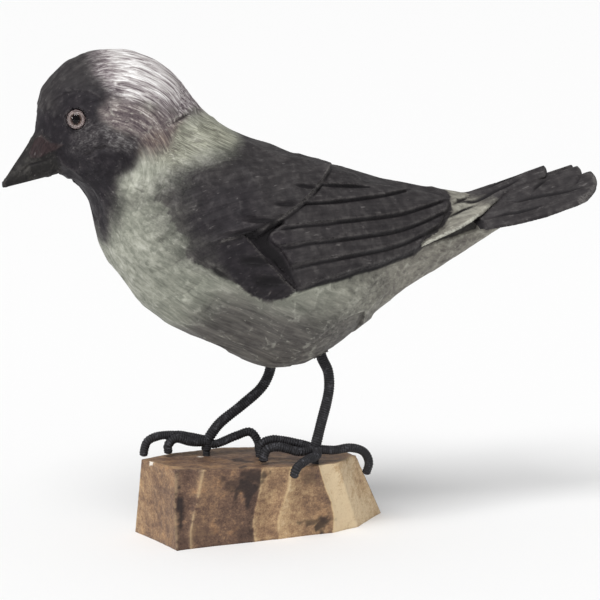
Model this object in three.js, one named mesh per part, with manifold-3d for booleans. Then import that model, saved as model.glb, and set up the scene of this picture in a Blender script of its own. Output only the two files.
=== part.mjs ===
// A jackdaw carved from wood and painted, with glass eyes, standing on two wires wound with
// cord on a stained wood block. Millimetres, +Z up. The bird faces -X, its left side is -Y,
// and its mid-plane is y = 0. The underside of the block is z = 0.

import * as THREE from 'three';
import { mergeVertices } from 'three/addons/utils/BufferGeometryUtils.js';
import Module from 'manifold-3d';

const wasm = await Module();
wasm.setup();

const RAD = Math.PI / 180;

// Sizes of the bird's rounded masses: centres, half sizes and pitch of the long axis.
const BREAST = { at: [-40, 0, 133.8], half: [45.1, 37.5, 36], pitch: -15.5 };
const BELLY = { at: [1.2, 0, 113.5], half: [28.7, 34, 37.9], pitch: -29.3 };
const HEAD = { at: [-82.3, 0, 179.4], half: [28.7, 23.5, 27], pitch: 3 };
const RUMP = { from: [-5.6, 0, 119.8], to: [96.7, 0, 134.8], r0: 43.4, r1: 4.7, width: 0.88 };
const NECK = { from: [-70.7, 0, 174], to: [-36.7, 0, 126.7], r0: 26.9, r1: 36.9, width: 0.92 };
const BILL = { from: [-99, 0, 170], to: [-123.8, 0, 153.2], r0: 13.5, r1: 1.7, width: 0.75 };
const BODY_BLEND = 20;
const NECK_BLEND = 14;
const BILL_BLEND = 3;

// How finely the body is faceted.
const BODY_RINGS = 42;
const BODY_SIDES = 30;
const TRACE_STEP = 0.5;
const TRACE_LIMIT = 2000;
const SEARCH_STEPS = 36;
const HALVINGS = 24;
const FARTHEST = 90;

// The wings are laid out on a plane that leans this far over the bird's side.
const WING_LEAN = 35 * RAD;
const WING_COLS = 9;
const WING_ROWS = 2;
const WING_TUCK = 2;
const WING_SINK = 4;
const TIP_CENTRE = 0.8;
const WING_LIFT = { upper: 1.3, lower: 2.9 };
const BACK_FADE = { over: 14, least: 0.35 };
const WING_CUT = { from: [-30, 85.5], to: [-12.6, 66.5], hidden: 3 };

// Lower edges of the long wing feathers from the back down, each a shallow curve from a
// front end to a rear end on the wing plane, with its sag in the middle.
const FEATHERS = [
  { name: 'shoulder feather', front: [-1, 108.2], rear: [31, 112.3], sag: 0.9, round: 3 },
  { name: 'inner feather', front: [-22, 97], rear: [50, 115.4], sag: 4.1, round: 3 },
  { name: 'second feather', front: [-22, 87.4], rear: [65.6, 110.6], sag: 4.1, round: 1.5 },
  { name: 'third feather', front: [-20.4, 80.8], rear: [65, 105.4], sag: 5, round: 1.5 },
  { name: 'fourth feather', front: [-15.7, 73.8], rear: [61.5, 99.8], sag: 4.6, round: 2 },
  { name: 'outer feather', front: [-12.4, 66.4], rear: [52, 91], sag: 2.7, round: 4 },
];
const WING_TOP = { gap: 1.3, parts: 22, tipX: 66, tipGap: 9.5 };
const BACK_INSIDE = 128;

// The two raised groups of shorter feathers at the front of the wing.
const UPPER_GROUP = {
  back: [[12, 123.5], [-9.5, 86.5], [-44, 85.2]],
  front: [[-27, 128], [-66, 106], [-56, 84]],
  lift: [-0.9, 4.8],
};
const LOWER_GROUP = {
  front: [[-58, 86], [-57, 83], [-54, 79.8]],
  back: [[-32.5, 86], [-24, 76], [-14.6, 66.4]],
  sag: 3.6,
  lift: [-0.5, 3.9],
};
const GROUP_COLS = 5;
const GROUP_ROWS = 8;

// The tail is a fan of flat feathers, roofed to each side of a ridge that rises to the rear.
const TAIL_ROOT = new THREE.Vector3(61.8, 0, 138);
const TAIL_RISE = 16.7 * RAD;
const TAIL_ROOF = 27 * RAD;
const TAIL_COLS = 7;
const TAIL_ROWS = 3;
const TAIL_FEATHERS = [
  { u: [-10, 55], inner: [-0.4, -0.4], edge: [22, 15.5, 6.5], top: 0.7, base: -2.6, round: 3 },
  { u: [11, 69], inner: [-0.4, 3], edge: [5, 17.5, 12.5], top: -0.2, base: -3, round: 6 },
  { u: [11, 72.2], inner: [3, 9], edge: [13, 21.5, 20.5], top: -1.1, base: -3.4, round: 5 },
  { u: [11.5, 66], inner: [8, 16], edge: [20.5, 30.5, 25.5], top: -2, base: -4, round: 7 },
];

// Eyes: glass domes set in drilled sockets.
const EYE_AT = [-98.6, 19, 180.1];
const EYE_R = 4.1;
const EYE_DOME = 2.4;
const EYE_DEPTH = 4.5;
const EYE_SIDES = 16;
const EYE_ARCS = 5;
const EYE_SUNK = 1;
const FIT_GAP = 0.3;

// Legs: wire wound with cord, points along the middle of each length.
const LEG_R = 2.15;
const TOE_R = 1.8;
const PEG_R = 1.5;
const WIRE_SIDES = 7;
const LEG_STEPS = 15;
const TOE_STEPS = 9;
const LEGS = {
  left: {
    shank: [[6, -12.5, 91], [7.3, -12.5, 78], [10.4, -12.5, 71], [11, -12.4, 64.5],
      [10.4, -12, 59.3], [7.8, -11, 48], [5.6, -10, 38]],
    peg: [[5.6, -10, 38], [5.6, -10, 24]],
    toes: [
      [[5.6, -9.6, 37.6], [-2, -7, 39.7], [-11.5, -4.5, 41.3], [-15.4, -3.3, 40],
        [-16.7, -2.5, 36.7], [-16.7, -2.5, 33.2]],
      [[5.6, -10, 37.2], [-1.6, -11, 36.7], [-11.3, -11, 39.3], [-15.9, -11, 38.6],
        [-17.6, -11, 35.4], [-17.7, -11, 33]],
      [[5.8, -10.4, 37], [4.7, -15, 35.6], [-1.5, -19.5, 34.6], [-6.9, -23, 32.2],
        [-8.8, -24.2, 28.4]],
      [[5.2, -10, 37.2], [14.4, -9, 36], [22.4, -8.2, 36.3], [28.7, -7, 33.8],
        [31.3, -6, 28.8], [29.8, -6, 23.6]],
    ],
  },
  right: {
    shank: [[-6, 12.5, 86], [-7, 12.5, 71], [-8.4, 12.5, 65.8], [-11.6, 12.5, 60.7],
      [-20.6, 12.7, 53.3], [-30.4, 13, 45.9], [-36, 13, 38.8]],
    peg: [[-36, 13, 39.4], [-36, 13, 25]],
    toes: [
      [[-35.8, 13.2, 39], [-43, 14, 41], [-56.3, 14.4, 42.1], [-61.6, 14.6, 40],
        [-63.2, 14.6, 36], [-63.4, 14.6, 33.4]],
      [[-35.8, 12.8, 38.4], [-42.9, 11.6, 39.1], [-50.2, 11.5, 41], [-53.4, 11.5, 38.4],
        [-53.2, 11.5, 34.5]],
      [[-35.8, 13.4, 38.6], [-41, 18.5, 39.6], [-46.5, 23.5, 40], [-48.6, 25.6, 37.6],
        [-49, 26, 34.6]],
      [[-36.2, 13, 38.6], [-32.8, 12.5, 37.4], [-23.2, 11.5, 40.6], [-17, 11, 42],
        [-13.7, 10.2, 37.6], [-13.3, 10, 33]],
    ],
  },
};

// The block, knife-cut from a slab: corners of its underside and of its top in turn, seen
// from above, joined by flat cuts. The top falls away slightly towards the tail end.
const BLOCK_FOOT = [
  [-58.3, -20.3], [-52.3, -18.9], [-23, -15.4], [-11.3, -13.8], [13.2, -10.2], [27.4, -3.2],
  [46, 18.8], [42, 30], [8, 33.5], [-35, 32], [-62, 27], [-66.6, 18],
];
const BLOCK_TOP = [
  [-57.3, -18.4], [-46.2, -18.8], [-23.5, -19.4], [-10, -18], [5, -16], [15.2, -12],
  [28.7, 3.4], [27.5, 20], [6, 28.5], [-26, 27.5], [-50, 18], [-66.5, 6],
];
const BLOCK_HEIGHT = 32.1;
const BLOCK_FALL = 0.042;
const BLOCK_MIDDLE = [-18, 5];

// The figure is drawn about the bird; this moves it so that the origin is under its middle.
const FRAME_SHIFT = 4.1;

const COLOURS = {
  bird: 0x55554f,
  eye: 0xb8a8a2,
  leg: 0x1d1d1f,
  block: 0x76583a,
};

// Distance to a pitched ellipsoid.
function massDistance(x, y, z, mass) {
  const dx = x - mass.at[0];
  const dy = y - mass.at[1];
  const dz = z - mass.at[2];
  const c = Math.cos(mass.pitch * RAD);
  const s = Math.sin(mass.pitch * RAD);
  const u = dx * c + dz * s;
  const w = dz * c - dx * s;
  const [a, b, h] = mass.half;
  const k0 = Math.hypot(u / a, dy / b, w / h);
  const k1 = Math.hypot(u / (a * a), dy / (b * b), w / (h * h));
  return (k0 * (k0 - 1)) / Math.max(k1, 1e-9);
}

// Distance to a tapered, round-ended bar.
function taperDistance(x, y, z, bar) {
  const d = [0, 1, 2].map((i) => bar.to[i] - bar.from[i]);
  const p = [x - bar.from[0], (y - bar.from[1]) / bar.width, z - bar.from[2]];
  const along = (p[0] * d[0] + p[1] * d[1] + p[2] * d[2]) / (d[0] ** 2 + d[1] ** 2 + d[2] ** 2);
  const t = THREE.MathUtils.clamp(along, 0, 1);
  const off = Math.hypot(p[0] - t * d[0], p[1] - t * d[1], p[2] - t * d[2]);
  return (off - (bar.r0 + (bar.r1 - bar.r0) * t)) * bar.width;
}

function blend(a, b, size) {
  const h = Math.max(size - Math.abs(a - b), 0) / size;
  return Math.min(a, b) - h * h * size * 0.25;
}

// Distance to the bird without wings and tail, negative inside.
function bodyDistance(x, y, z) {
  let trunk = blend(massDistance(x, y, z, BREAST), massDistance(x, y, z, BELLY), BODY_BLEND);
  trunk = blend(trunk, taperDistance(x, y, z, RUMP), BODY_BLEND);
  const head = blend(massDistance(x, y, z, HEAD), taperDistance(x, y, z, NECK), NECK_BLEND);
  const bird = blend(trunk, head, NECK_BLEND);
  return blend(bird, taperDistance(x, y, z, BILL), BILL_BLEND);
}

function bodyNormal(x, y, z) {
  const e = 0.05;
  return new THREE.Vector3(
    bodyDistance(x + e, y, z) - bodyDistance(x - e, y, z),
    bodyDistance(x, y + e, z) - bodyDistance(x, y - e, z),
    bodyDistance(x, y, z + e) - bodyDistance(x, y, z - e),
  ).normalize();
}

// Length from a point inside, in a direction, out to the body's surface.
function reach(from, dir) {
  const distanceAt = (r) => {
    const p = from.clone().addScaledVector(dir, r);
    return bodyDistance(p.x, p.y, p.z);
  };
  let inside = 0;
  let outside = FARTHEST;
  for (let i = 1; i <= SEARCH_STEPS; i += 1) {
    const r = (FARTHEST * i) / SEARCH_STEPS;
    if (distanceAt(r) > 0) {
      outside = r;
      break;
    }
    inside = r;
  }
  for (let i = 0; i < HALVINGS; i += 1) {
    const r = (inside + outside) / 2;
    if (distanceAt(r) > 0) outside = r;
    else inside = r;
  }
  return (inside + outside) / 2;
}

// Walks along the mid-plane outline from the bill tip to the rear: side 1 goes over the back,
// side -1 under the belly. It stops where the outline has turned the rear end.
function outlineFrom(side) {
  const start = new THREE.Vector3(...BILL.to);
  const forward = start.clone().sub(new THREE.Vector3(...BILL.from)).normalize();
  const at = start.addScaledVector(forward, BILL.r1);
  const points = [at.clone()];
  for (let i = 0; i < TRACE_LIMIT; i += 1) {
    const n = bodyNormal(at.x, 0, at.z);
    at.x += side * n.z * TRACE_STEP;
    at.z -= side * n.x * TRACE_STEP;
    const m = bodyNormal(at.x, 0, at.z);
    at.addScaledVector(m, -bodyDistance(at.x, 0, at.z));
    at.y = 0;
    points.push(at.clone());
    if (at.x > RUMP.to[0] && side * m.z < 0.1) break;
  }
  return points;
}

function alongPath(points, fraction) {
  const last = points.length - 1;
  const i = Math.min(Math.floor(fraction * last), last - 1);
  return points[i].clone().lerp(points[i + 1], fraction * last - i);
}

// Joins rings of points into a closed skin with a point at each end.
function skin(first, rings, last) {
  const points = [first, ...rings.flat(), last];
  const n = rings[0].length;
  const index = [];
  const id = (ring, k) => 1 + ring * n + (k % n);
  for (let k = 0; k < n; k += 1) {
    index.push(0, id(0, k), id(0, k + 1));
    index.push(points.length - 1, id(rings.length - 1, k + 1), id(rings.length - 1, k));
    for (let r = 0; r + 1 < rings.length; r += 1) {
      index.push(id(r, k), id(r + 1, k), id(r, k + 1));
      index.push(id(r, k + 1), id(r + 1, k), id(r + 1, k + 1));
    }
  }
  return solidOf(points, index);
}

// Closes a grid of outer points and a grid of inner points into a plate.
function plate(outer, inner) {
  const rows = outer.length;
  const cols = outer[0].length;
  const points = [...outer.flat(), ...inner.flat()];
  const index = [];
  const o = (r, c) => r * cols + c;
  const i = (r, c) => rows * cols + r * cols + c;
  const quad = (a, b, c, d) => index.push(a, b, c, a, c, d);
  for (let r = 0; r + 1 < rows; r += 1) {
    for (let c = 0; c + 1 < cols; c += 1) {
      quad(o(r, c), o(r, c + 1), o(r + 1, c + 1), o(r + 1, c));
      quad(i(r, c), i(r + 1, c), i(r + 1, c + 1), i(r, c + 1));
    }
  }
  for (let c = 0; c + 1 < cols; c += 1) {
    quad(o(0, c), i(0, c), i(0, c + 1), o(0, c + 1));
    quad(o(rows - 1, c + 1), i(rows - 1, c + 1), i(rows - 1, c), o(rows - 1, c));
  }
  for (let r = 0; r + 1 < rows; r += 1) {
    quad(o(r + 1, 0), i(r + 1, 0), i(r, 0), o(r, 0));
    quad(o(r, cols - 1), i(r, cols - 1), i(r + 1, cols - 1), o(r + 1, cols - 1));
  }
  return solidOf(points, index);
}

function solidOf(points, index) {
  const numbers = points.flatMap((p) => [p.x, p.y, p.z]);
  const geometry = new THREE.BufferGeometry();
  geometry.setAttribute('position', new THREE.Float32BufferAttribute(numbers, 3));
  geometry.setIndex(index);
  return toSolid(geometry);
}

// Turns a closed surface into a solid, facing outwards.
function toSolid(geometry) {
  const clean = geometry.clone();
  clean.deleteAttribute('normal');
  clean.deleteAttribute('uv');
  const merged = mergeVertices(clean, 1e-4);
  const triVerts = Uint32Array.from(merged.index.array);
  const vertProperties = Float32Array.from(merged.attributes.position.array);
  const solid = new wasm.Manifold(new wasm.Mesh({ numProp: 3, vertProperties, triVerts }));
  if (solid.volume() > 0) return solid;
  for (let i = 0; i < triVerts.length; i += 3) {
    [triVerts[i], triVerts[i + 1]] = [triVerts[i + 1], triVerts[i]];
  }
  return new wasm.Manifold(new wasm.Mesh({ numProp: 3, vertProperties, triVerts }));
}

function toGeometry(solid) {
  const mesh = solid.getMesh();
  const points = [];
  for (let i = 0; i < mesh.vertProperties.length; i += mesh.numProp) {
    points.push(mesh.vertProperties[i], mesh.vertProperties[i + 1], mesh.vertProperties[i + 2]);
  }
  const geometry = new THREE.BufferGeometry();
  geometry.setAttribute('position', new THREE.Float32BufferAttribute(points, 3));
  geometry.setIndex(Array.from(mesh.triVerts));
  geometry.computeVertexNormals();
  return geometry;
}

function bodySolid() {
  const over = outlineFrom(1);
  const under = outlineFrom(-1);
  const rings = [];
  for (let i = 1; i < BODY_RINGS; i += 1) {
    const top = alongPath(over, i / BODY_RINGS);
    const bottom = alongPath(under, i / BODY_RINGS);
    const middle = top.clone().add(bottom).multiplyScalar(0.5);
    const upward = top.clone().sub(bottom).normalize();
    const ring = [];
    for (let k = 0; k < BODY_SIDES; k += 1) {
      const angle = (2 * Math.PI * k) / BODY_SIDES;
      const dir = upward.clone().multiplyScalar(Math.cos(angle));
      dir.y = Math.sin(angle);
      ring.push(middle.clone().addScaledVector(dir, reach(middle, dir)));
    }
    rings.push(ring);
  }
  const tail = over[over.length - 1].clone().add(under[under.length - 1]).multiplyScalar(0.5);
  return skin(over[0], rings, tail);
}

// A point on the wing plane at (x, t), raised by a lift off the body's surface.
function wingPoint(side, x, t, lift) {
  const c = Math.cos(WING_LEAN);
  const s = Math.sin(WING_LEAN);
  const from = new THREE.Vector3(x, -t * s, t * c);
  const dir = new THREE.Vector3(0, c, s);
  let inside = 0;
  while (bodyDistance(x, from.y + dir.y * inside, from.z + dir.z * inside) > 0 && inside < FARTHEST) {
    inside += 1;
  }
  const p = from.clone().addScaledVector(dir, inside);
  p.addScaledVector(dir, reach(p, dir) + lift);
  p.y *= side;
  return p;
}

// Height t on the wing plane of a point on the back at x, a distance off the mid-plane.
function backLine(x, off) {
  const middle = new THREE.Vector3(x, off, BACK_INSIDE);
  const z = middle.z + reach(middle, new THREE.Vector3(0, 0, 1));
  return z * Math.cos(WING_LEAN) - off * Math.sin(WING_LEAN);
}

// Upper limit of the wing: beside the mid-line at the shoulders, parting towards the tips.
function wingTop(x) {
  const open = THREE.MathUtils.clamp((x - WING_TOP.parts) / (WING_TOP.tipX - WING_TOP.parts), 0, 1);
  return backLine(x, WING_TOP.gap + (WING_TOP.tipGap - WING_TOP.gap) * open);
}

function featherLine(feather, x) {
  const f = (x - feather.front[0]) / (feather.rear[0] - feather.front[0]);
  const held = THREE.MathUtils.clamp(f, 0, 1);
  const rise = feather.rear[1] - feather.front[1];
  return feather.front[1] + rise * f - feather.sag * 4 * held * (1 - held);
}

function bezier(curve, s) {
  const [a, b, c] = curve;
  const q = 1 - s;
  return [0, 1].map((i) => q * q * a[i] + 2 * q * s * b[i] + s * s * c[i]);
}

// Front end of a feather: under the upper group, or behind the cut beside the lower group.
function featherStart(feather, above, across) {
  const low = feather.front[1];
  const high = above ? above.front[1] : low;
  const t = high + (low - high) * across;
  const f = (t - WING_CUT.from[1]) / (WING_CUT.to[1] - WING_CUT.from[1]);
  if (f < 0) return feather.front[0] - WING_CUT.hidden;
  return WING_CUT.from[0] + (WING_CUT.to[0] - WING_CUT.from[0]) * f;
}

// The relief grows shallower towards the middle of the back.
function backFade(x, t) {
  const below = (backLine(x, WING_TOP.gap) - t) / BACK_FADE.over;
  return THREE.MathUtils.clamp(below, BACK_FADE.least, 1);
}

// One long feather: a plate that is thickest along its lower edge.
function featherSolid(side, i) {
  const feather = FEATHERS[i];
  const above = FEATHERS[i - 1];
  const outer = [];
  const inner = [];
  for (let r = 0; r <= WING_ROWS; r += 1) {
    const across = r / WING_ROWS;
    const x1 = feather.rear[0] - feather.round * (2 * across - TIP_CENTRE) ** 2;
    const x0 = featherStart(feather, above, across);
    const outerRow = [];
    const innerRow = [];
    for (let c = 0; c <= WING_COLS; c += 1) {
      const x = x0 + ((x1 - x0) * c) / WING_COLS;
      const low = featherLine(feather, x);
      const ridge = wingTop(x);
      const high = above ? Math.min(featherLine(above, x) + WING_TUCK, ridge) : ridge;
      const t = Math.max(high, low + 1) * (1 - across) + low * across;
      const rise = WING_LIFT.upper + (WING_LIFT.lower - WING_LIFT.upper) * across;
      const lift = rise * backFade(x, t);
      outerRow.push(wingPoint(side, x, t, lift));
      innerRow.push(wingPoint(side, x, t, -WING_SINK));
    }
    outer.push(outerRow);
    inner.push(innerRow);
  }
  return plate(outer, inner);
}

// A raised group of short feathers, rising from a front curve to a back curve.
function groupSolid(side, group) {
  const sag = group.sag ?? 0;
  const outer = [];
  const inner = [];
  for (let r = 0; r <= GROUP_ROWS; r += 1) {
    const down = r / GROUP_ROWS;
    const a = bezier(group.front, down);
    const b = bezier(group.back, down);
    const outerRow = [];
    const innerRow = [];
    for (let c = 0; c <= GROUP_COLS; c += 1) {
      const f = c / GROUP_COLS;
      const x = a[0] + (b[0] - a[0]) * f;
      const straight = a[1] + (b[1] - a[1]) * f - sag * 4 * f * (1 - f) * down;
      const t = Math.min(straight, backLine(x, WING_TOP.gap));
      const h = group.lift[0] + (group.lift[1] - group.lift[0]) * f;
      outerRow.push(wingPoint(side, x, t, h > 0 ? h * backFade(x, t) : h));
      innerRow.push(wingPoint(side, x, t, -WING_SINK));
    }
    outer.push(outerRow);
    inner.push(innerRow);
  }
  return plate(outer, inner);
}

function wingSolid(side) {
  let wing = groupSolid(side, UPPER_GROUP).add(groupSolid(side, LOWER_GROUP));
  for (let i = 0; i < FEATHERS.length; i += 1) {
    wing = wing.add(featherSolid(side, i));
  }
  return wing;
}

// A point of the tail: u to the rear, v out to the side, w off the roofed surface.
function tailPoint(side, u, v, w) {
  const rear = new THREE.Vector3(Math.cos(TAIL_RISE), 0, Math.sin(TAIL_RISE));
  const up = new THREE.Vector3(-Math.sin(TAIL_RISE), 0, Math.cos(TAIL_RISE));
  const out = up.clone().multiplyScalar(-Math.sin(TAIL_ROOF));
  out.y = side * Math.cos(TAIL_ROOF);
  return TAIL_ROOT.clone().addScaledVector(rear, u).addScaledVector(out, v).addScaledVector(up, w);
}

function tailFeather(side, feather) {
  const [e0, e1, e2] = feather.edge;
  const outer = [];
  const inner = [];
  for (let r = 0; r <= TAIL_ROWS; r += 1) {
    const across = r / TAIL_ROWS;
    const tip = feather.u[1] - feather.round * across ** 3;
    const outerRow = [];
    const innerRow = [];
    for (let c = 0; c <= TAIL_COLS; c += 1) {
      const f = c / TAIL_COLS;
      const u = feather.u[0] + (tip - feather.u[0]) * f;
      const edge = e0 * (1 - f) ** 2 + 2 * e1 * f * (1 - f) + e2 * f * f;
      const start = feather.inner[0] + (feather.inner[1] - feather.inner[0]) * f;
      const v = start + (edge - start) * across;
      outerRow.push(tailPoint(side, u, v, feather.top));
      innerRow.push(tailPoint(side, u, v, feather.base));
    }
    outer.push(outerRow);
    inner.push(innerRow);
  }
  return plate(outer, inner);
}

// A round bar along a smooth curve through points, closed at both ends.
function wire(points, radius, sides, steps) {
  const curve = new THREE.CatmullRomCurve3(points.map((p) => new THREE.Vector3(...p)));
  const shape = new THREE.Shape();
  for (let k = 0; k < sides; k += 1) {
    const a = (2 * Math.PI * k) / sides;
    const x = radius * Math.cos(a);
    const y = radius * Math.sin(a);
    if (k === 0) shape.moveTo(x, y);
    else shape.lineTo(x, y);
  }
  shape.closePath();
  return toSolid(new THREE.ExtrudeGeometry(shape, { steps, extrudePath: curve, bevelEnabled: false }));
}

function legSolid(leg) {
  let solid = wire(leg.shank, LEG_R, WIRE_SIDES, LEG_STEPS);
  for (const toe of leg.toes) {
    solid = solid.add(wire(toe, TOE_R, WIRE_SIDES, TOE_STEPS));
  }
  return solid.add(wire(leg.peg, PEG_R, WIRE_SIDES, 1));
}

// Drilled hole for the top of a leg, or for its peg.
function hole(points, radius) {
  return wire(points, radius + FIT_GAP, WIRE_SIDES, 4);
}

// Half outline of an eye: flat back, short straight side and a domed front.
function eyeProfile(grow) {
  const r = EYE_R + grow;
  const back = -EYE_DEPTH - grow;
  const ball = (EYE_R ** 2 + EYE_DOME ** 2) / (2 * EYE_DOME);
  const half = Math.asin(EYE_R / ball);
  const points = [new THREE.Vector2(0, back), new THREE.Vector2(r, back), new THREE.Vector2(r, 0)];
  for (let i = 1; i <= EYE_ARCS; i += 1) {
    const a = half * (1 - i / EYE_ARCS);
    const x = Math.sin(a) * (ball + grow);
    points.push(new THREE.Vector2(x, Math.cos(a) * (ball + grow) - ball + EYE_DOME));
  }
  return points;
}

// An eye or its socket, turned out of a profile and set square to the head's surface.
function eyeSolid(side, grow) {
  const geometry = new THREE.LatheGeometry(eyeProfile(grow), EYE_SIDES);
  const out = bodyNormal(EYE_AT[0], side * EYE_AT[1], EYE_AT[2]);
  const turn = new THREE.Quaternion().setFromUnitVectors(new THREE.Vector3(0, 1, 0), out);
  const at = new THREE.Vector3(EYE_AT[0], side * EYE_AT[1], EYE_AT[2]);
  at.addScaledVector(out, -bodyDistance(at.x, at.y, at.z) - EYE_SUNK);
  geometry.applyQuaternion(turn);
  geometry.translate(at.x, at.y, at.z);
  return toSolid(geometry);
}

function blockSolid() {
  const top = (x) => BLOCK_HEIGHT - BLOCK_FALL * (x - BLOCK_MIDDLE[0]);
  const foot = BLOCK_FOOT.map(([x, y]) => new THREE.Vector3(x, y, 0));
  const head = BLOCK_TOP.map(([x, y]) => new THREE.Vector3(x, y, top(x)));
  const [x, y] = BLOCK_MIDDLE;
  return skin(new THREE.Vector3(x, y, 0), [foot, head], new THREE.Vector3(x, y, top(x)));
}

function birdSolid() {
  let bird = bodySolid();
  for (const side of [-1, 1]) {
    bird = bird.add(wingSolid(side));
    for (const feather of TAIL_FEATHERS) {
      bird = bird.add(tailFeather(side, feather));
    }
  }
  for (const side of [-1, 1]) {
    bird = bird.subtract(eyeSolid(side, FIT_GAP));
  }
  bird = bird.subtract(hole(LEGS.left.shank.slice(0, 3), LEG_R));
  return bird.subtract(hole(LEGS.right.shank.slice(0, 3), LEG_R));
}

const group = new THREE.Group();

function addPiece(name, solid, color, roughness) {
  const material = new THREE.MeshStandardMaterial({ color, roughness, metalness: 0 });
  const mesh = new THREE.Mesh(toGeometry(solid), material);
  mesh.name = name;
  mesh.geometry.translate(-FRAME_SHIFT, 0, 0);
  group.add(mesh);
}

let block = blockSolid();
for (const leg of [LEGS.left, LEGS.right]) {
  block = block.subtract(hole(leg.peg, PEG_R));
}

addPiece('carved_bird', birdSolid(), COLOURS.bird, 0.7);
addPiece('left_eye', eyeSolid(-1, 0), COLOURS.eye, 0.1);
addPiece('right_eye', eyeSolid(1, 0), COLOURS.eye, 0.1);
addPiece('left_leg', legSolid(LEGS.left), COLOURS.leg, 0.8);
addPiece('right_leg', legSolid(LEGS.right), COLOURS.leg, 0.8);
addPiece('base_block', block, COLOURS.block, 0.65);

export default group;
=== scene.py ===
"""A carved and painted jackdaw as it looks: bird, glass eyes, cord-wound legs, stained block.

Shapes are worked out in millimetres, in the same drawing as the part, and turned to metres
when they become objects. The bird faces -X, its left side is -Y, its mid-plane is y = 0.
"""

import math

import bpy
import numpy as np
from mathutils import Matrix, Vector


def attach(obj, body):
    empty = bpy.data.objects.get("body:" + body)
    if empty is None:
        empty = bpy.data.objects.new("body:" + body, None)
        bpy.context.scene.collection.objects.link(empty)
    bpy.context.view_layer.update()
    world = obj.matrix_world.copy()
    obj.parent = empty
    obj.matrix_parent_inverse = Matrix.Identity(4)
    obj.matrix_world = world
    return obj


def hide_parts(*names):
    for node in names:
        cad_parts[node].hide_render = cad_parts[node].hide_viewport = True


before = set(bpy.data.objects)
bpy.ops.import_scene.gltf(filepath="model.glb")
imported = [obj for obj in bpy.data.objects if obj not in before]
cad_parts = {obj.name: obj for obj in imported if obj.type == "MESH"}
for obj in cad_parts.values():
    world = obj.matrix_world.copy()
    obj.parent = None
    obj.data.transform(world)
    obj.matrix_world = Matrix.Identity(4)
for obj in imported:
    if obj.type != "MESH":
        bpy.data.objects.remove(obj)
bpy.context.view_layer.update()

FRAME_SHIFT = 4.1
MM = 0.001
SEED = 20
FAR = 1e9
NOISE_CELLS = 32

# Rounded masses of the bird: centres, half sizes and pitch of the long axis, as in the part.
BREAST = {"at": (-40, 0, 133.8), "half": (45.1, 37.5, 36), "pitch": -15.5}
BELLY = {"at": (1.2, 0, 113.5), "half": (28.7, 34, 37.9), "pitch": -29.3}
HEAD = {"at": (-82.3, 0, 179.4), "half": (28.7, 23.5, 27), "pitch": 3}
RUMP = {"a": (-5.6, 0, 119.8), "b": (96.7, 0, 134.8), "r0": 43.4, "r1": 4.7, "width": 0.88}
NECK = {"a": (-70.7, 0, 174), "b": (-36.7, 0, 126.7), "r0": 26.9, "r1": 36.9, "width": 0.92}
BILL = {"a": (-99, 0, 170), "b": (-123.8, 0, 153.2), "r0": 13.5, "r1": 1.7, "width": 0.75}
BODY_BLEND = 20
NECK_BLEND = 14
BILL_BLEND = 1.6

CELL = 0.5
BIRD_LOW = (-127, -45, 70)
BIRD_HIGH = (135, 45, 209)
BIRD_FACES = 190000
SAMPLE_BLOCK = 8
SAMPLE_BATCH = 1500
HALF_DIAGONAL = 0.87
RELIEF_MOST = 3.2

WING_LEAN = math.radians(35)
CHART_STEP = 0.25
CHART_X = (-80, 76)
CHART_T = (58, 142)
BACK_SEARCH = (128, 215)
HALVINGS = 30
GROUP_STEPS = 900
FEATHER_STEP = 1.3
FEATHER_RISE = 1.5
WING_CUT = [(-30, 85.5), (-12.6, 66.5)]
# Long feathers: front and rear of the lower edge, its sag, and how far the tip is rounded.
FEATHERS = [
    ((-1, 108.2), (31, 112.3), 0.9, 3),
    ((-22, 97), (50, 115.4), 4.1, 3),
    ((-22, 87.4), (65.6, 110.6), 4.1, 1.5),
    ((-20.4, 80.8), (65, 105.4), 5, 1.5),
    ((-15.7, 73.8), (61.5, 99.8), 4.6, 2),
    ((-12.4, 66.4), (52, 91), 2.7, 4),
]
UPPER_GROUP = {
    "back": [(12, 123.5), (-9.5, 85.3), (-44, 83.8)],
    "front": [(-27, 128), (-66, 106), (-56, 84)],
    "lift": (-0.9, 4.8),
    "sag": 0,
}
LOWER_GROUP = {
    "front": [(-58, 86), (-57, 83), (-54, 79.8)],
    "back": [(-34, 84.5), (-24, 74.8), (-12.6, 65.6)],
    "lift": (-0.5, 3.9),
    "sag": 3.6,
}
SHORT_CUTS = [
    (1.6, [(-14, 106), (-9.5, 105), (-5, 105), (1.5, 105.5)]),
    (1.6, [(-24.5, 97), (-17.5, 96.5), (-9, 96.5)]),
    (1.6, [(-36.5, 91.5), (-30.5, 90.5), (-24.5, 90), (-18, 90)]),
    (1.8, [(-45.5, 85.5), (-39, 85.5), (-34.5, 86), (-29.5, 86.5), (-24, 88)]),
    (2.4, [(-39.5, 77.8), (-30.5, 76.5), (-22, 75)]),
    (2.6, [(-35, 73.3), (-30.5, 71.5), (-24.5, 70), (-15, 68.3)]),
    (1.6, [(-53, 80.5), (-50, 78), (-47, 76), (-43.5, 74), (-38, 71.3)]),
]
RECESS = [(-32, 84.5), (-28.5, 81.5), (-25, 78.5), (-21.5, 75.5), (-17.5, 72.5), (-14, 69), (-12, 66),
          (-12.2, 68), (-14.2, 71.5), (-15.6, 74.5), (-17.4, 77.5), (-20, 80.5), (-24, 83.5), (-23.5, 86),
          (-17, 89.5), (-18.5, 91), (-24, 89.5), (-27, 87.5), (-29.5, 86)]
BACK_HOLLOW = [(-40, 0), (-20, -1.3), (0, -1.3), (10, -1.2), (13, -3.2), (17, -2.6), (22, -1.4), (40, -0.5),
               (60, 0)]

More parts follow.
